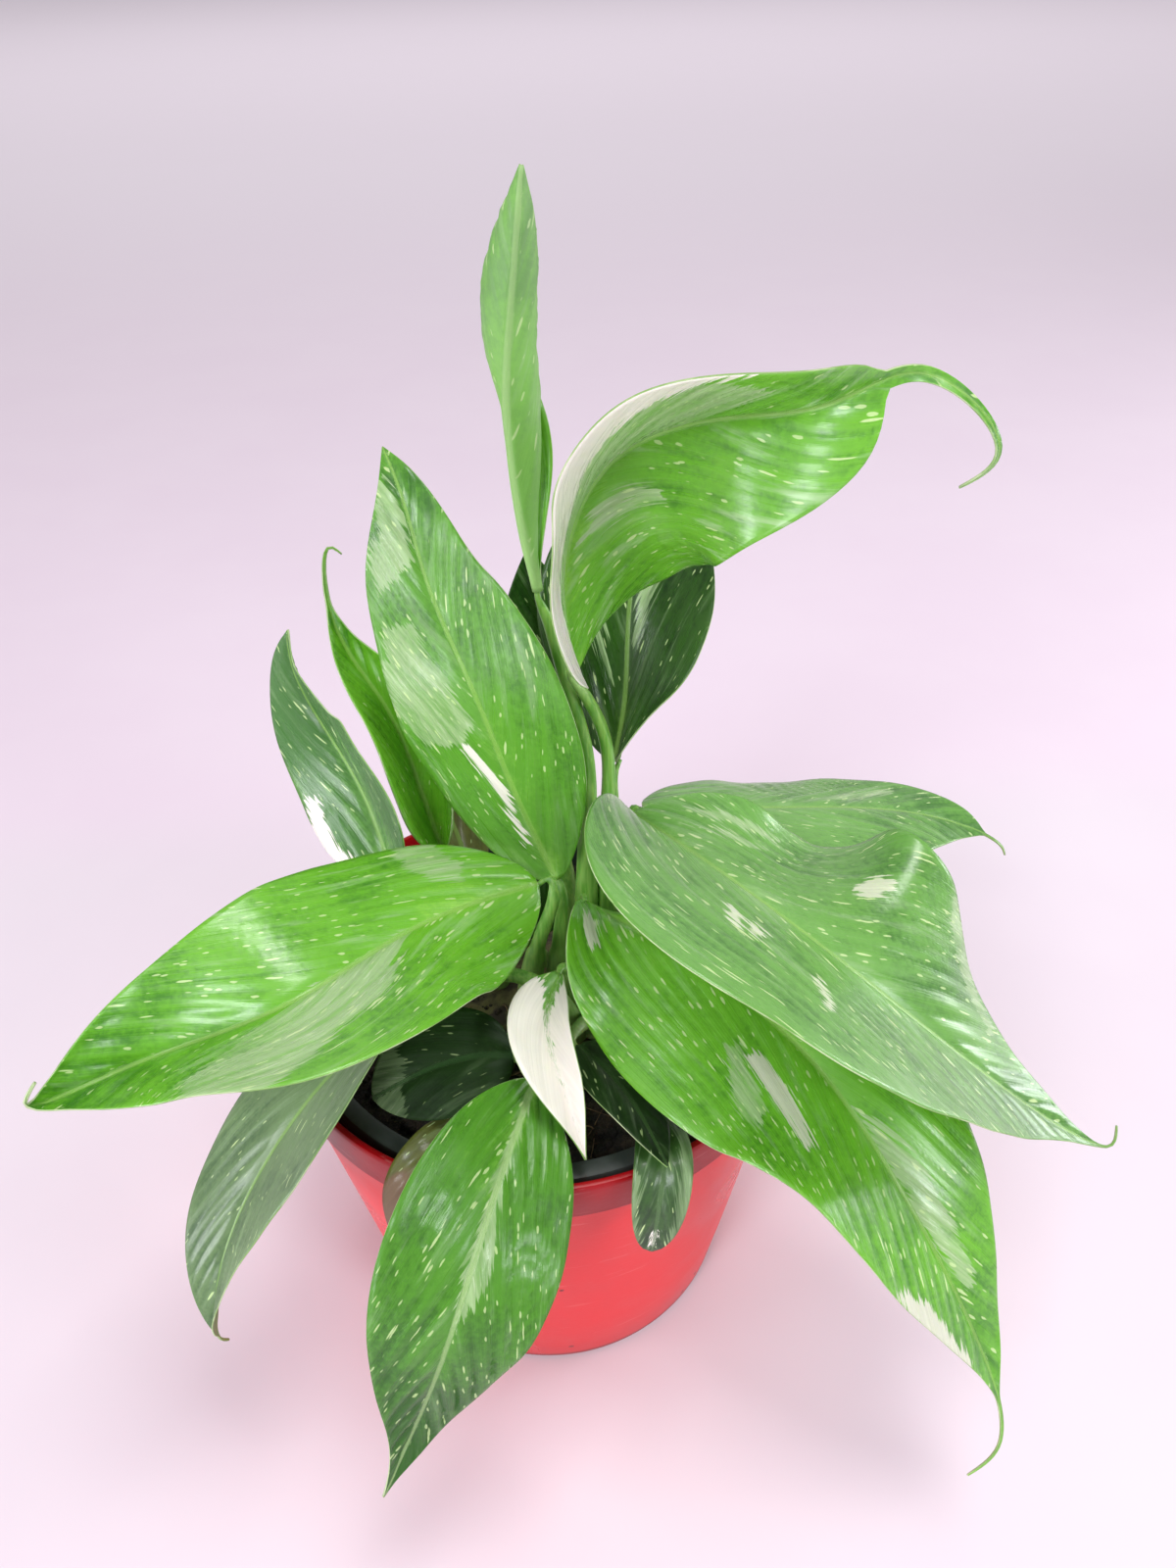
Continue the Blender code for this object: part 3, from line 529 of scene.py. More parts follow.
def halfWidth(along, leaf):
    place = np.clip(along / leaf.get("blade", 1.0), 0, 1)
    widest, base = leaf["widest"], leaf["round"]
    tip = base * (1 - widest) / widest
    body = leaf["half"] * (place / widest) ** base * ((1 - place) / (1 - widest)) ** tip
    left = np.clip((1 - along) / max(1 - leaf.get("blade", 1.0), 0.01), 0, 1)
    ribbon = leaf.get("ribbon", 0.0) * left ** 1.9 * smoothStep(0.4, 0.9, place)
    return body + ribbon + blade["tail"] * (1 - along) ** 0.6 + blade["tipMargin"]


def leafSurface(leaf):
    # points of the upper sheet, and for each its place along and across the blade in mm
    length = smoothPath(leaf["midrib"], 9)[2]
    rowCount = max(40, int(length / blade["rowSpacing"]))
    steps = max(8, int(leaf["half"] / blade["columnSpacing"]))
    along = np.linspace(0, 1, rowCount)
    midrib, tangent, length = smoothPath(leaf["midrib"], rowCount)
    upper = stations(leaf["face"], along)
    upper -= (upper * tangent).sum(axis=1, keepdims=True) * tangent
    upper /= np.linalg.norm(upper, axis=1, keepdims=True)
    right = np.cross(tangent, upper)
    fold = np.radians(stations(leaf.get("fold", blade["plainFold"]), along))
    width = halfWidth(along, leaf)
    curls = leaf.get("curl", blade["plainCurl"])
    shares = (np.arange(steps + 1) / steps) ** 1.12
    rows = np.zeros((rowCount, 2 * steps + 1, 3))
    across = np.zeros((rowCount, 2 * steps + 1))
    rows[:, steps] = midrib
    for side, curlStations, share in ((-1, curls[0], leaf.get("left", 1.0)), (1, curls[1], 1.0)):
        curl = np.radians(stations(curlStations, along))
        point = midrib.copy()
        for k in range(steps):
            lift = (fold + curl * (shares[k] + shares[k + 1]) / 2)[:, None]
            stride = (width * share * (shares[k + 1] - shares[k]))[:, None]
            point = point + stride * (side * np.cos(lift) * right + np.sin(lift) * upper)
            column = steps + side * (k + 1)
            rows[:, column] = point
            across[:, column] = side * width * share * shares[k + 1]
    shareAcross = np.concatenate([-shares[:0:-1], shares])[None, :]
    return rows, along[:, None] * length, across, np.broadcast_to(shareAcross, across.shape), length


def relax(points, along, side, centre, spread, passes):
    # evens out rows that crowd together on the inner side of a bend, more so towards the margin
    middle = points.shape[1] // 2
    even = points.copy()
    near = np.exp(-((along[:, 0] - centre) / spread) ** 4)[:, None]
    for column in range(points.shape[1]):
        reach = (column - middle) / middle * side
        line = points[:, column].copy()
        for _ in range(int(passes * max(reach, 0) ** 1.5)):
            line[1:-1] = 0.25 * line[:-2] + 0.5 * line[1:-1] + 0.25 * line[2:]
        even[:, column] += (line - points[:, column]) * near
    return even


def surfaceNormals(rows):
    byRow = np.gradient(rows, axis=0)
    byColumn = np.gradient(rows, axis=1)
    normal = np.cross(byColumn, byRow)
    size = np.linalg.norm(normal, axis=2, keepdims=True)
    return normal / np.maximum(size, 1e-9)


def veinLabel(along, across, leaf):
    reach = np.abs(across)
    return along - blade["veinLean"] * reach - blade["veinBend"] * reach ** 2 / leaf["half"]


def patchField(patches, kind, along, across):
    # distance in mm inside the nearest patch, negative outside all of them
    field = np.full(along.shape, -40.0)
    for patchKind, side, corners in patches:
        if patchKind != kind:
            continue
        reach = across * side
        nearest = np.full(along.shape, 1e9)
        inside = np.zeros(along.shape, bool)
        for (s0, y0), (s1, y1) in zip(corners, corners[1:] + corners[:1]):
            run = max((s1 - s0) ** 2 + (y1 - y0) ** 2, 1e-9)
            share = np.clip(((along - s0) * (s1 - s0) + (reach - y0) * (y1 - y0)) / run, 0, 1)
            gap = np.hypot(along - s0 - share * (s1 - s0), reach - y0 - share * (y1 - y0))
            nearest = np.minimum(nearest, gap)
            crossing = (s1 - s0) * (reach - y0) / ((y1 - y0) or 1e-9) + s0
            inside ^= ((y0 > reach) != (y1 > reach)) & (along < crossing)
        field = np.maximum(field, np.where(inside, nearest, -nearest))
    return field


def giveFloat(mesh, name, values):
    layer = mesh.attributes.new(name, "FLOAT", "POINT")
    layer.data.foreach_set("value", np.ascontiguousarray(values, np.float32).ravel())


def deselectAll():
    if bpy.context.object and bpy.context.object.mode != "OBJECT":
        bpy.ops.object.mode_set(mode="OBJECT")
    bpy.ops.object.select_all(action="DESELECT")


def applyAll(piece):
    bpy.context.view_layer.objects.active = piece
    for modifier in list(piece.modifiers):
        bpy.ops.object.modifier_apply(modifier=modifier.name)


def makeLeaf(name, leaf, seed, marginPaint):
    rows, along, across, share, length = leafSurface(leaf)
    along = np.broadcast_to(along, across.shape)
    label = veinLabel(along, across, leaf)
    inner = np.abs(share)
    width = np.abs(across[:, -1:]) + 0.01
    bladeEnd = leaf.get("blade", 1.0) * length
    room = smoothStep(0, 6, width) * smoothStep(0, 8, bladeEnd - along)

    # sunken side veins, quilting between them, a channel over the midrib, and a wavy margin
    phase = label / blade["veinPitch"] + 0.5 * (across > 0) + 0.4 * np.sin(label / 17 + seed)
    groove = (0.5 + 0.5 * np.cos(math.tau * phase)) ** 3
    body = smoothStep(0.02, 0.2, inner) * (1 - smoothStep(0.75, 1.0, inner))
    lift = -blade["veinDepth"] * groove * body * room * leaf.get("quilt", 1.0)
    lift -= blade["ribDepth"] * np.exp(-(across / blade["ribWidth"]) ** 2) * room
    ripple = np.sin(math.tau * along / blade["waveLength"] + seed + 1.3 * np.sign(across))
    ripple = ripple + blade["rippleShare"] * np.sin(math.tau * along / blade["rippleLength"] + 2 * seed)
    lift += 0.5 * leaf.get("wave", 0.8) * ripple * inner ** 3 * room
    for side, at, spread, height in leaf.get("humps", ()):
        lift += height * np.exp(-((along - at) / spread) ** 2) * inner ** 2 * (np.sign(across) == side)
    if "relax" in leaf:
        rows = relax(rows, along, *leaf["relax"])
    points = rows + surfaceNormals(rows) * lift[:, :, None]

    rowCount, columnCount = across.shape
    deselectAll()
    bpy.ops.mesh.primitive_grid_add(x_subdivisions=columnCount - 1, y_subdivisions=rowCount - 1, size=1)
    piece = bpy.context.object
    piece.name = "blade_" + name
    mesh = piece.data
    flat = np.zeros(len(mesh.vertices) * 3)
    mesh.vertices.foreach_get("co", flat)
    flat = flat.reshape(-1, 3)
    column = np.rint((flat[:, 0] + 0.5) * (columnCount - 1)).astype(int)
    row = np.rint((flat[:, 1] + 0.5) * (rowCount - 1)).astype(int)
    mesh.vertices.foreach_set("co", (points[row, column] * mm).ravel())

    def put(attribute, values):
        giveFloat(mesh, attribute, np.broadcast_to(values, across.shape)[row, column])

    patches = leaf.get("patches", ())
    put("pale", patchField(patches, "pale", along, across))
    put("cream", patchField(patches, "cream", along, across))
    ribHalf = 0.28 + 0.75 * np.clip(1 - along / bladeEnd, 0, 1)
    put("rib", np.abs(across) / ribHalf)
    nearRib = np.exp(-np.abs(across) / 7)
    tone = 0.40 + 0.32 * nearRib * (1 - smoothStep(0, 0.8, along / length)) + leaf.get("tone", 0.0)
    tone = tone + 0.10 * smoothStep(0.9, 1.0, inner)
    tone = tone - leaf.get("tipTone", 0.14) * smoothStep(0.45, 0.95, along / length)
    # painted shade: the tone is darker along the sunken side-vein furrows
    tone = tone - 0.14 * groove * body
    put("tone", tone)
    dryTip = leaf.get("dryTip", 1.05)
    put("dry", smoothStep(dryTip - 0.2, dryTip + 0.2, along / length))
    veins = np.stack([label, along, np.clip(across / 0.5, -1, 1) * 11 + seed], axis=2)
    layer = mesh.attributes.new("veins", "FLOAT_VECTOR", "POINT")
    layer.data.foreach_set("vector", np.ascontiguousarray(veins[row, column], np.float32).ravel())

    mesh.materials.append(paintLeaf("leaf_" + name + "_upper", leaf["look"], seed))
    mesh.materials.append(paintLeaf("leaf_" + name + "_under", leaf["look"], seed, under=True))
    mesh.materials.append(marginPaint)
    shell = piece.modifiers.new("thickness", "SOLIDIFY")
    shell.thickness = blade["thickness"] * mm
    shell.offset = 0.0
    shell.material_offset = 1
    shell.material_offset_rim = 2
    applyAll(piece)
    raiseKeel(piece, points, across, row, column, length, along)
    mesh.shade_smooth()
    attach(piece, "root")
    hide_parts("leaf_" + name)


def raiseKeel(piece, points, across, row, column, length, along):
    # the midrib stands out under the blade as a rounded ridge that thins towards the tip
    mesh = piece.data
    first = len(row)
    normals = surfaceNormals(points)[row, column]
    ridge = blade["keel"] * (1 - 0.8 * along / length) * np.exp(-(across / blade["keelWidth"]) ** 2)
    flat = np.zeros(len(mesh.vertices) * 3)
    mesh.vertices.foreach_get("co", flat)
    flat = flat.reshape(-1, 3)
    flat[first:] -= normals * ridge[row, column][:, None] * mm
    mesh.vertices.foreach_set("co", flat.ravel())


marginPaint = paintMargin()
for seed, (name, leaf) in enumerate(leaves.items()):
    makeLeaf(name, leaf, seed + 1, marginPaint)
print("leaves made:", len(leaves))


stalk = {
    "foot": 2.5, "top": 1.4, "swell": 1.2, "swellEnds": 0.42, "points": 40, "ringPoints": 20, "groove": 0.22,
    "dark": (0.115, 0.33, 0.035), "fresh": (0.24, 0.48, 0.085), "patch": (0.42, 0.58, 0.22),
    "sheath": (0.30, 0.36, 0.16),
}


def paintStem():
    paint, tree, shader = newPaint("stalkGreen")
    place = objectPlace(tree)
    drawn = stretched(tree, place, (900.0, 900.0, 60.0), (0.3, 0.7, 0.1))
    lines = noiseAt(tree, drawn, 1.0, 3.0)
    patchy = noiseAt(tree, place, 55.0, 2.0)
    colour = blendColours(tree, ramp(tree, lines, 0.35, 0.65), stalk["dark"], stalk["fresh"])
    colour = blendColours(tree, ramp(tree, patchy, 0.5, 0.75, 0.0, 0.5), colour, stalk["patch"])
    height = putNode(tree, "ShaderNodeSeparateXYZ", {0: place}).outputs[2]
    low = ramp(tree, height, 0.104, 0.135, 0.55, 0.0)
    colour = blendColours(tree, low, colour, stalk["sheath"])
    giveSurface(tree, shader, colour, ramp(tree, lines, 0.3, 0.7, 0.32, 0.46))
    giveBump(tree, shader, lines, 0.4, 0.0003)
    glowInside(shader, 0.15, 0.0015)
    return paint


def fillMesh(mesh, vertices, faces):
    # the active object's mesh is given new faces, which are then turned outwards
    mesh.clear_geometry()
    mesh.from_pydata(vertices, [], faces)
    mesh.update()
    bpy.ops.object.mode_set(mode="EDIT")
    bpy.ops.mesh.select_all(action="SELECT")
    bpy.ops.mesh.normals_make_consistent(inside=False)
    bpy.ops.object.mode_set(mode="OBJECT")
    mesh.shade_smooth()
    mesh.materials.clear()


def makeStem(name, leaf, paint):
    midrib, tangent, length = smoothPath(leaf["midrib"], 14)
    foot = np.array(leaf["stem"][0], float)
    lead = tangent[0]
    top = midrib[0] + lead * 0.8
    middle = [np.array(point) for point in leaf["stem"][1:]]
    bends = [foot - (0, 0, 2.0), foot + (0, 0, 1.5), *middle, midrib[0] - lead * 3, top]
    path, direction, run = smoothPath(bends, stalk["points"])
    deselectAll()
    bpy.ops.mesh.primitive_circle_add(vertices=stalk["ringPoints"], radius=1, fill_type="NGON",
                                      location=(0, 0, 0))
    piece = bpy.context.object
    piece.name = "stalk_" + name
    ring = np.array([v.co[:2] for v in piece.data.vertices if abs(v.co.xy.length - 1) < 0.01])
    upper = np.array(leaf["face"][0], float)
    vertices, faces = [], []
    count = len(ring)
    for i, (place, heading) in enumerate(zip(path, direction)):
        share = i / (len(path) - 1)
        radius = stalk["foot"] + (stalk["top"] - stalk["foot"]) * share
        swelling = 1 - float(smoothStep(stalk["swellEnds"] - 0.05, stalk["swellEnds"] + 0.05, share))
        radius += stalk["swell"] * swelling * (1 - share)
        ending = float(smoothStep(run - 9, run - 0.5, share * run))
        radius *= 1 - 0.55 * ending
        front = upper - heading * (upper @ heading)
        front /= np.linalg.norm(front)
        sideways = np.cross(heading, front)
        place = place - front * leaf.get("drop", 1.5) * ending
        for x, y in ring:
            # a shallow channel runs up the side that faces the blade's upper surface
            pull = 1 - stalk["groove"] * max(0.0, y) ** 6 * share
            vertices.append((place + (sideways * x + front * y * pull) * radius) * mm)
    for i in range(len(path) - 1):
        for k in range(count):
            n = (k + 1) % count
            faces.append((i * count + k, i * count + n, (i + 1) * count + n, (i + 1) * count + k))
    faces.append(tuple(reversed(range(count))))
    faces.append(tuple((len(path) - 1) * count + k for k in range(count)))
    mesh = piece.data
    fillMesh(mesh, [Vector(v) for v in vertices], faces)
    mesh.materials.append(paint)
    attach(piece, "root")
    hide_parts("stem_" + name)


stalkPaint = paintStem()
for name, leaf in leaves.items():
    makeStem(name, leaf, stalkPaint)
print("stalks made:", len(leaves))


def turnedPiece(name, outline, segments):
    # a disc is added at the first radius, and its edge is drawn out ring by ring along the outline
    deselectAll()
    radius, height = outline[0]
    bpy.ops.mesh.primitive_circle_add(vertices=segments, radius=radius * mm, fill_type="NGON",
                                      location=(0, 0, height * mm))
    piece = bpy.context.object
    piece.name = name
    bpy.ops.object.transform_apply(location=True, rotation=False, scale=False)
    bpy.ops.object.mode_set(mode="EDIT")
    bpy.ops.mesh.select_mode(type="EDGE")
    bpy.ops.mesh.select_all(action="SELECT")
    bpy.ops.mesh.flip_normals()
    for nextRadius, nextHeight in outline[1:]:
        bpy.ops.mesh.extrude_edges_move(
            TRANSFORM_OT_translate={"value": (0, 0, (nextHeight - height) * mm)})
        growth = nextRadius / radius
        bpy.ops.transform.resize(value=(growth, growth, 1), center_override=(0, 0, nextHeight * mm))
        radius, height = nextRadius, nextHeight
    bpy.ops.mesh.edge_face_add()
    bpy.ops.mesh.select_all(action="SELECT")
    bpy.ops.mesh.normals_make_consistent(inside=False)
    bpy.ops.object.mode_set(mode="OBJECT")
    piece.data.shade_smooth()
    bpy.ops.object.shade_smooth_by_angle(angle=math.radians(40))
    return piece


coverPot = {
    "foot": 54.0, "band": 70.0, "bandHeight": 99.2, "rim": 71.6, "height": 112.0, "wall": 1.2,
    "floor": 2.0, "segments": 144,
    "body": (0.72, 0.030, 0.034), "low": (0.60, 0.030, 0.040), "edge": (0.26, 0.003, 0.006),
    # the rim band's reds are painted shade from the inner pot behind the thin plastic
    "bandShadeDark": (0.30, 0.002, 0.005), "bandShadeLight": (0.42, 0.005, 0.010),
    "scuff": (0.95, 0.42, 0.42), "dirt": (0.03, 0.016, 0.012),
}


def paintCoverPot():
    paint, tree, shader = newPaint("coralPlastic")
    place = objectPlace(tree)
    height = putNode(tree, "ShaderNodeSeparateXYZ", {0: place}).outputs[2]
    cloudy = noiseAt(tree, place, 22.0, 3.0)
    colour = blendColours(tree, ramp(tree, cloudy, 0.3, 0.7), coverPot["body"],
                          tuple(1.12 * c for c in coverPot["body"]))
    low = ramp(tree, height, 0.0, 0.030, 0.35, 0.0)
    colour = blendColours(tree, low, colour, coverPot["low"])
    base = ramp(tree, height, 0.0009, 0.0030, 0.85, 0.0)
    colour = blendColours(tree, base, colour, coverPot["edge"])
    # painted shade: the rim band is darker red where the inner pot shades it from behind
    band = ramp(tree, height, 0.0985, 0.0997)
    shadedBand = blendColours(tree, ramp(tree, cloudy, 0.35, 0.65), coverPot["bandShadeDark"], coverPot["bandShadeLight"])
    colour = blendColours(tree, band, colour, shadedBand)
    scuffAt = stretched(tree, place, (60.0, 60.0, 700.0), (0.2, 0.4, 0.6))
    scuffs = ramp(tree, noiseAt(tree, scuffAt, 1.0, 4.0, 0.6), 0.62, 0.72, 0.0, 0.18)
    colour = blendColours(tree, scuffs, colour, coverPot["scuff"])
    dirtAt = putNode(tree, "ShaderNodeTexVoronoi", {"Vector": place, "Scale": 95.0, "Randomness": 1.0})
    speck = ramp(tree, dirtAt.outputs["Distance"], 0.05, 0.10, 1.0, 0.0)
    gate = ramp(tree, noiseAt(tree, place, 30.0, 2.0), 0.60, 0.66)
    colour = blendColours(tree, maths(tree, "MULTIPLY", speck, gate), colour, coverPot["dirt"])
    giveSurface(tree, shader, colour, ramp(tree, cloudy, 0.3, 0.7, 0.26, 0.40))
    giveBump(tree, shader, noiseAt(tree, place, 700.0, 2.0), 0.15, 0.0002)
    glowInside(shader, 0.25, 0.004, (1.0, 0.25, 0.22))
    shader.inputs["Specular IOR Level"].default_value = 0.2
    return paint


def makeCoverPot():
    size = coverPot
    wall = size["wall"]
    outline = [
        (size["foot"] - 4, 0.9), (size["foot"] - 3.4, 0.15), (size["foot"] - 1.2, 0.0),
        (size["foot"] - 0.3, 0.25), (size["foot"], 1.0),
        (size["foot"] + 4.0, 24.5), (size["foot"] + 8.0, 49.5), (size["foot"] + 12.0, 74.5),
        (size["band"], size["bandHeight"]), (size["band"] + 0.75, size["bandHeight"] + 0.1),
        (size["band"] + 1.0, size["bandHeight"] + 0.6), (size["rim"] - 0.1, size["height"] - 2.2),
        (size["rim"], size["height"] - 1.0), (size["rim"] - 0.25, size["height"] - 0.25),
        (size["rim"] - 0.9, size["height"]), (size["rim"] - wall - 0.3, size["height"] - 0.1),
        (size["rim"] - wall - 0.7, size["height"] - 0.8),
        (size["band"] - wall, size["bandHeight"]), (size["foot"] + 4.0 - wall, 24.5),
        (size["foot"] - wall, size["floor"] + 1), (size["foot"] - wall - 1, size["floor"]),
    ]
    piece = turnedPiece("cover_pot_shell", outline, size["segments"])
    piece.data.materials.append(paintCoverPot())
    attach(piece, "root")
    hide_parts("cover_pot")


nurseryPot = {
    "foot": 48.0, "mouth": 61.3, "lip": 66.4, "height": 108.0, "wall": 1.0, "skirt": 8.0, "segments": 144,
    "grey": (0.026, 0.034, 0.030), "worn": (0.060, 0.072, 0.064), "dust": (0.05, 0.032, 0.02),
}


def paintNurseryPot():
    paint, tree, shader = newPaint("greyPotPlastic")
    place = objectPlace(tree)
    cloudy = noiseAt(tree, place, 60.0, 4.0)
    colour = blendColours(tree, ramp(tree, cloudy, 0.35, 0.7), nurseryPot["grey"], nurseryPot["worn"])
    dust = ramp(tree, noiseAt(tree, place, 420.0, 3.0), 0.62, 0.72, 0.0, 0.5)
    colour = blendColours(tree, dust, colour, nurseryPot["dust"])
    giveSurface(tree, shader, colour, ramp(tree, cloudy, 0.3, 0.7, 0.42, 0.62))
    giveBump(tree, shader, noiseAt(tree, place, 900.0, 2.0), 0.3, 0.0002)
    return paint


def makeNurseryPot():
    size = nurseryPot
    foot, mouth, lip, top, wall = size["foot"], size["mouth"], size["lip"], size["height"], size["wall"]
    outline = [
        (foot - 1, 2.3), (foot, 3.3), (mouth + wall, top - size["skirt"]), (mouth + wall + 0.3, top - wall),
        (lip - wall, top - wall - 0.2), (lip - wall, top - size["skirt"]), (lip, top - size["skirt"]),
        (lip, top - 1.0), (lip - 0.3, top - 0.3), (lip - 1.0, top), (mouth + 1.2, top),
        (mouth + 0.4, top - 0.3), (mouth, top - 1.1), (foot - wall, 4.1), (foot - wall - 1, 3.8),
    ]
    piece = turnedPiece("nursery_pot_shell", outline, size["segments"])
    piece.data.materials.append(paintNurseryPot())
    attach(piece, "root")
    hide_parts("nursery_pot")


makeCoverPot()
makeNurseryPot()
print("pots made")


soil = {
    "floor": 4.4, "footRadius": 46.4, "edgeRadius": 59.2, "edge": 97.0, "top": 101.0, "segments": 128,
    "rings": 30, "lumps": 1.3, "crumbs": 700, "fibres": 140, "fibreRings": 8,
    "wet": (0.007, 0.005, 0.004), "dry": (0.045, 0.028, 0.017), "speck": (0.16, 0.095, 0.05),
    "darkFibre": (0.12, 0.065, 0.03), "paleFibre": (0.34, 0.22, 0.12),
}


def paintSoil():
    paint, tree, shader = newPaint("darkPeat")
    place = objectPlace(tree)
    coarse = noiseAt(tree, place, 260.0, 5.0, 0.65)
    fine = noiseAt(tree, place, 1300.0, 3.0)
    colour = blendColours(tree, ramp(tree, coarse, 0.38, 0.68), soil["wet"], soil["dry"])
    colour = blendColours(tree, ramp(tree, fine, 0.64, 0.74, 0.0, 0.8), colour, soil["speck"])
    giveSurface(tree, shader, colour, ramp(tree, fine, 0.3, 0.7, 0.75, 0.95))
    height = maths(tree, "ADD", coarse, maths(tree, "MULTIPLY", fine, 0.4))
    giveBump(tree, shader, height, 1.0, 0.0015)
    return paint


def paintFibre():
    paint, tree, shader = newPaint("rootFibre")
    place = objectPlace(tree)
    patchy = noiseAt(tree, place, 160.0, 2.0)
    colour = blendColours(tree, ramp(tree, patchy, 0.4, 0.6), soil["darkFibre"], soil["paleFibre"])
    giveSurface(tree, shader, colour, ramp(tree, patchy, 0.3, 0.7, 0.6, 0.8))
    return paint


def soilHeight(x, y):
    reach = math.hypot(x, y) / soil["edgeRadius"]
    dome = soil["edge"] + (soil["top"] - soil["edge"]) * (1 - min(1.0, max(0.0, (reach - 0.6) / 0.4)) ** 2)
    rough = noise.fractal(Vector((x, y, 3.0)) * 0.11, 0.8, 2.1, 4) * soil["lumps"]
    return dome + rough * min(1.0, (1.02 - reach) * 6)


def makeSoil():
    size = soil
    outline = [(size["footRadius"], size["floor"]), (size["edgeRadius"], size["edge"])]
    for k in range(1, size["rings"]):
        outline.append((size["edgeRadius"] * (1 - k / size["rings"]), size["edge"]))
    piece = turnedPiece("peat", outline, size["segments"])
    for vertex in piece.data.vertices:
        if vertex.co.z > 0.09:
            vertex.co.z = soilHeight(vertex.co.x / mm, vertex.co.y / mm) * mm
    draw = np.random.default_rng(5)
    bm = bmesh.new()
    bm.from_mesh(piece.data)
    for i in range(size["crumbs"]):
        angle = draw.uniform(0, math.tau)
        reach = math.sqrt(draw.uniform(0, 1)) * (size["edgeRadius"] - 3)
        x, y = reach * math.cos(angle), reach * math.sin(angle)
        radius = 0.5 + 1.6 * draw.uniform(0, 1) ** 3
        place = Matrix.Translation(Vector((x, y, soilHeight(x, y) + 0.2 * radius)) * mm)
        turn = Matrix.Rotation(draw.uniform(0, math.tau), 4, Vector(draw.normal(size=3)))
        squeeze = Matrix.Diagonal((*draw.uniform(0.6, 1.3, 3), 1.0))
        bmesh.ops.create_icosphere(bm, subdivisions=1, radius=radius * mm, matrix=place @ turn @ squeeze)
    bm.to_mesh(piece.data)
    bm.free()
    piece.data.shade_smooth()
    piece.data.materials.append(paintSoil())
    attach(piece, "root")
    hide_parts("soil")


def makeFibres():
    # thin brown roots and threads of coir that lie on the peat
    draw = np.random.default_rng(11)
    deselectAll()
    vertices, faces = [], []
    for i in range(soil["fibres"]):
        angle = draw.uniform(0, math.tau)
        reach = math.sqrt(draw.uniform(0.05, 1)) * (soil["edgeRadius"] - 8)
        x, y = reach * math.cos(angle), reach * math.sin(angle)
        heading = draw.uniform(0, math.tau)
        turn = draw.normal(0, 0.35)
        radius = draw.uniform(0.12, 0.3)
        count = soil["fibreRings"]
        step = draw.uniform(0.8, 2.0)
        base = len(vertices)
        for k in range(count):
            if math.hypot(x, y) > soil["edgeRadius"] - 3:
                heading += 1.2
            z = soilHeight(x, y) + 0.7 + 0.8 * math.sin(k * 0.8 + i)
            taper = radius * (1 - 0.6 * k / count)
            for c in range(4):
                a = math.tau * c / 4
                vertices.append((x - math.sin(heading) * math.cos(a) * taper,
                                 y + math.cos(heading) * math.cos(a) * taper, z + math.sin(a) * taper))
            x += math.cos(heading) * step
            y += math.sin(heading) * step
            heading += turn
        for k in range(count - 1):
            for c in range(4):
                n = (c + 1) % 4
                low = base + 4 * k
                faces.append((low + c, low + n, low + 4 + n, low + 4 + c))
        faces.append((base + 3, base + 2, base + 1, base))
        last = base + 4 * (count - 1)
        faces.append((last, last + 1, last + 2, last + 3))
    bpy.ops.mesh.primitive_plane_add(size=0.01)
    piece = bpy.context.object
    piece.name = "root_fibres"
    mesh = piece.data
    fillMesh(mesh, [Vector(v) * mm for v in vertices], faces)
    mesh.materials.append(paintFibre())
    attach(piece, "root")


def paintCrown():
    paint, tree, shader = newPaint("rootstock")
    place = objectPlace(tree)
    patchy = noiseAt(tree, place, 150.0, 4.0)
    colour = blendColours(tree, ramp(tree, patchy, 0.42, 0.62), (0.035, 0.022, 0.012), (0.17, 0.15, 0.06))
    giveSurface(tree, shader, colour, ramp(tree, patchy, 0.3, 0.7, 0.6, 0.85))
    giveBump(tree, shader, patchy, 0.8, 0.001)
    return paint


crown = {"centre": (6.0, -2.0), "radius": 30.0, "foot": 100.6, "top": 102.8, "segments": 96, "rings": 14}


def makeCrown():
    size = crown
    outline = [(size["radius"], size["foot"])]
    for k in range(1, size["rings"]):
        outline.append((size["radius"] * (1 - k / size["rings"]), size["foot"] + 0.4))
    piece = turnedPiece("rootstock", outline, size["segments"])
    for vertex in piece.data.vertices:
        x, y = vertex.co.x / mm, vertex.co.y / mm
        if vertex.co.z / mm > size["foot"] + 0.2:
            reach = math.hypot(x, y) / size["radius"]
            rough = noise.fractal(Vector((x, y, 9.0)) * 0.15, 0.8, 2.1, 3)
            vertex.co.z += ((size["top"] - size["foot"]) * (1 - reach ** 2) + rough * 1.2) * mm
        vertex.co.x += size["centre"][0] * mm
        vertex.co.y += size["centre"][1] * mm
    piece.data.materials.append(paintCrown())
    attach(piece, "root")
    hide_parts("crown")


makeSoil()
makeFibres()
makeCrown()
print("soil and crown made")


studio = {
    "cameraPlace": (0.0, -0.22905, 0.35139), "pitch": 0.6573, "yaw": 0.065, "roll": -0.0246,
    "lens": 27.0, "sensor": 36.0,
    "world": (1.0, 0.96, 1.0), "worldStrength": 0.52,
    # the floor colours rise from near to far, painted light for the far floor where the lamps' light falls
    # off
    "floorNear": (0.76, 0.675, 0.75), "floorMid": (0.80, 0.675, 0.78), "floorFar": (0.98, 0.90, 0.98),
}


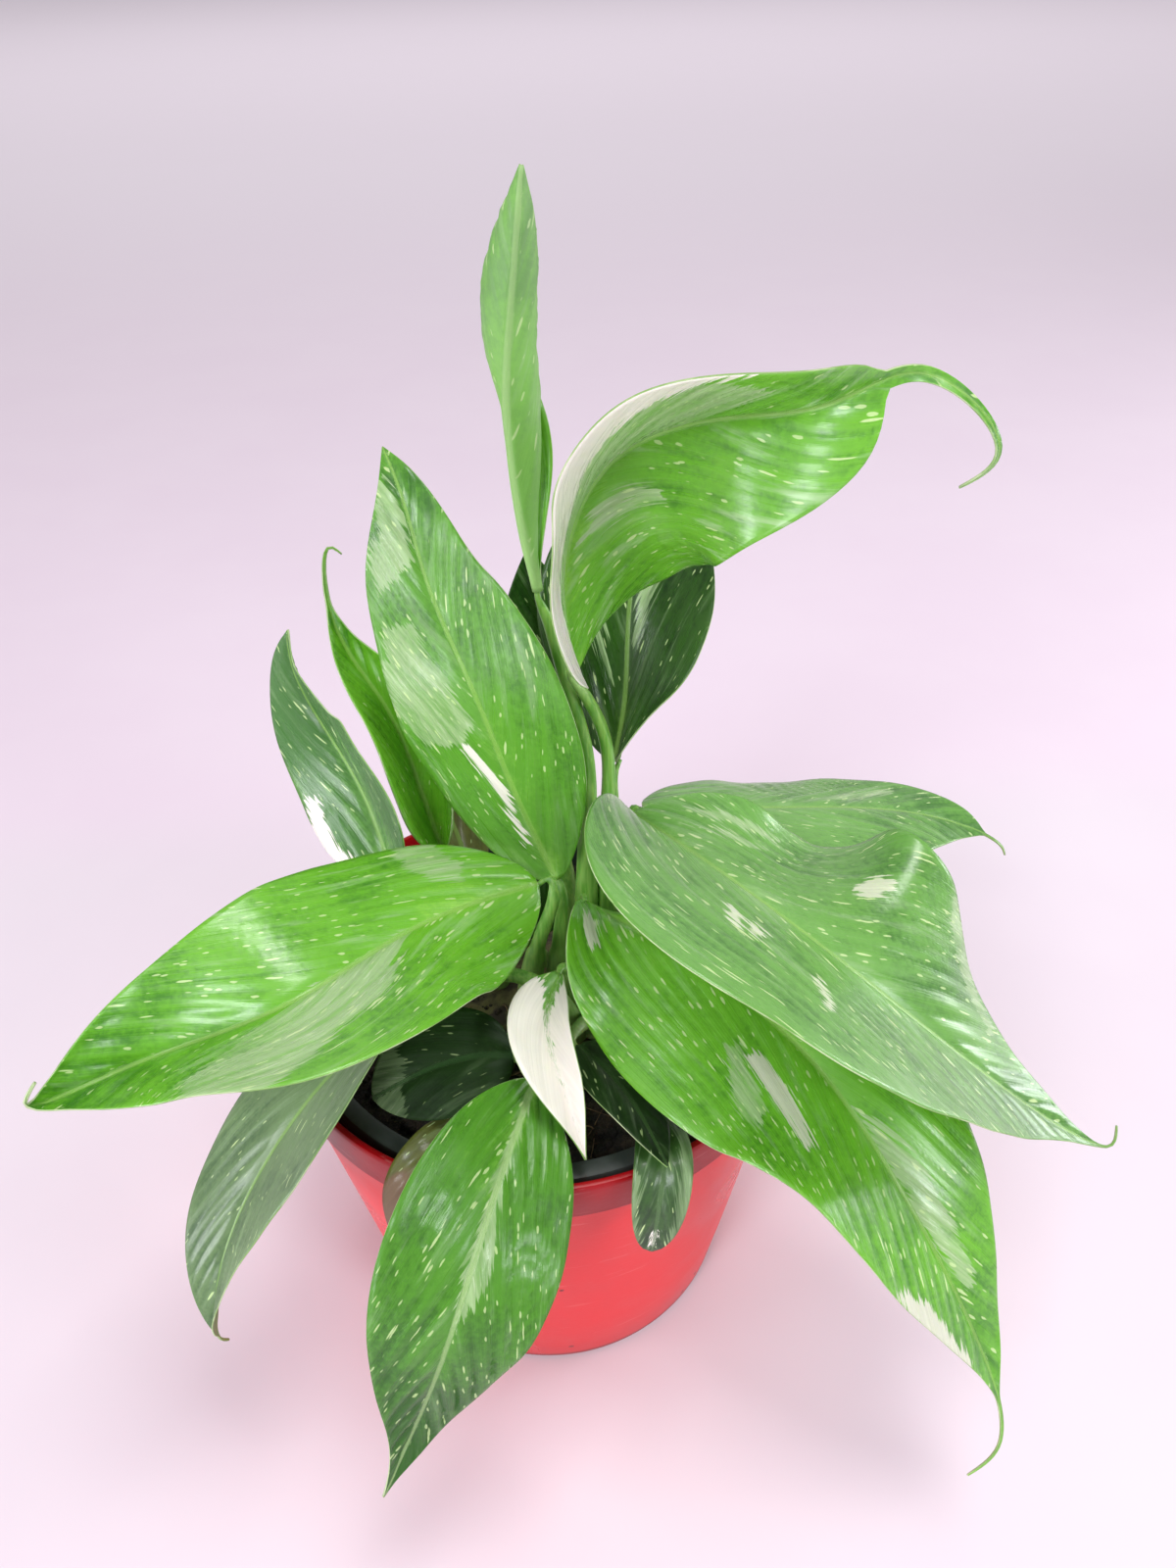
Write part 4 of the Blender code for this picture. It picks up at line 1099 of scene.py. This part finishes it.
def makeFloor():
    deselectAll()
    bpy.ops.mesh.primitive_plane_add(size=14, location=(0, 0, 0))
    floor = bpy.context.object
    floor.name = "floor"
    paint, tree, shader = newPaint("paleFloor")
    place = objectPlace(tree)
    depth = putNode(tree, "ShaderNodeSeparateXYZ", {0: place}).outputs[1]
    # painted light: the floor is coloured lighter with distance to make up for the light falling off
    colour = blendColours(tree, ramp(tree, depth, 0.17, 0.24), studio["floorNear"], studio["floorMid"])
    colour = blendColours(tree, ramp(tree, depth, 0.35, 1.9), colour, studio["floorFar"])
    soft = noiseAt(tree, place, 9.0, 3.0)
    colour = blendColours(tree, ramp(tree, soft, 0.3, 0.7, 0.0, 0.10), colour, (0.95, 0.88, 0.93))
    tree.links.new(colour, shader.inputs["Base Color"])
    shader.inputs["Roughness"].default_value = 0.6
    floor.data.materials.append(paint)


def makeLight(name, place, target, size, power, colour):
    lamp = bpy.data.lights.new(name, "AREA")
    lamp.shape = "RECTANGLE"
    lamp.size, lamp.size_y = size
    lamp.energy = power
    lamp.color = colour
    holder = bpy.data.objects.new(name, lamp)
    bpy.context.scene.collection.objects.link(holder)
    holder.location = place
    holder.rotation_euler = (Vector(target) - Vector(place)).to_track_quat("-Z", "Y").to_euler()


def makeCamera():
    pitch, yaw, roll = studio["pitch"], studio["yaw"], studio["roll"]
    ahead = Vector((math.sin(yaw) * math.cos(pitch), math.cos(yaw) * math.cos(pitch), -math.sin(pitch)))
    level = Vector((math.cos(yaw), -math.sin(yaw), 0))
    over = level.cross(ahead)
    right = level * math.cos(roll) + over * math.sin(roll)
    up = over * math.cos(roll) - level * math.sin(roll)
    lens = bpy.data.cameras.new("camera")
    lens.lens = studio["lens"]
    lens.sensor_width = studio["sensor"]
    lens.sensor_fit = "AUTO"
    lens.clip_start = 0.01
    camera = bpy.data.objects.new("camera", lens)
    bpy.context.scene.collection.objects.link(camera)
    turn = Matrix((right, up, -ahead)).transposed().to_4x4()
    camera.matrix_world = Matrix.Translation(studio["cameraPlace"]) @ turn
    bpy.context.scene.camera = camera


def makeWorld():
    world = bpy.data.worlds.new("studio")
    bpy.context.scene.world = world
    world.use_nodes = True
    background = world.node_tree.nodes["Background"]
    background.inputs["Color"].default_value = (*studio["world"], 1.0)
    background.inputs["Strength"].default_value = studio["worldStrength"]
    bpy.context.scene.view_settings.view_transform = "Standard"


# place, target, size, power, colour
lamps = {
    "frontLeftHigh": ((-0.50, -0.85, 1.05), (0, 0, 0.15), (0.32, 0.32), 5.6, (0.93, 0.97, 1.0)),
    "leftLow": ((-1.15, -0.20, 0.17), (0, 0, 0.22), (0.34, 0.30), 4.6, (0.95, 0.98, 1.0)),
    "frontLeftLow": ((-0.75, -1.02, 0.19), (0, 0, 0.18), (0.32, 0.32), 3.6, (0.95, 0.98, 1.0)),
    "frontRight": ((0.80, -0.80, 0.62), (0, 0, 0.12), (0.30, 0.30), 4.2, (0.95, 0.98, 1.0)),
    "rightLow": ((1.15, 0.25, 0.32), (0, 0, 0.14), (0.35, 0.45), 5.2, (0.95, 0.98, 1.0)),
    "overhead": ((0.15, -0.10, 1.30), (0, 0, 0.12), (0.36, 0.36), 5.8, (1.0, 0.98, 0.97)),
    "backdrop": ((0.2, 3.4, 1.8), (0.2, 3.6, 0), (4.5, 2.6), 20.0, (1.0, 0.97, 1.0)),
}

makeFloor()
for name, lamp in lamps.items():
    makeLight(name, *lamp)
makeCamera()
makeWorld()

print("pieces ready")
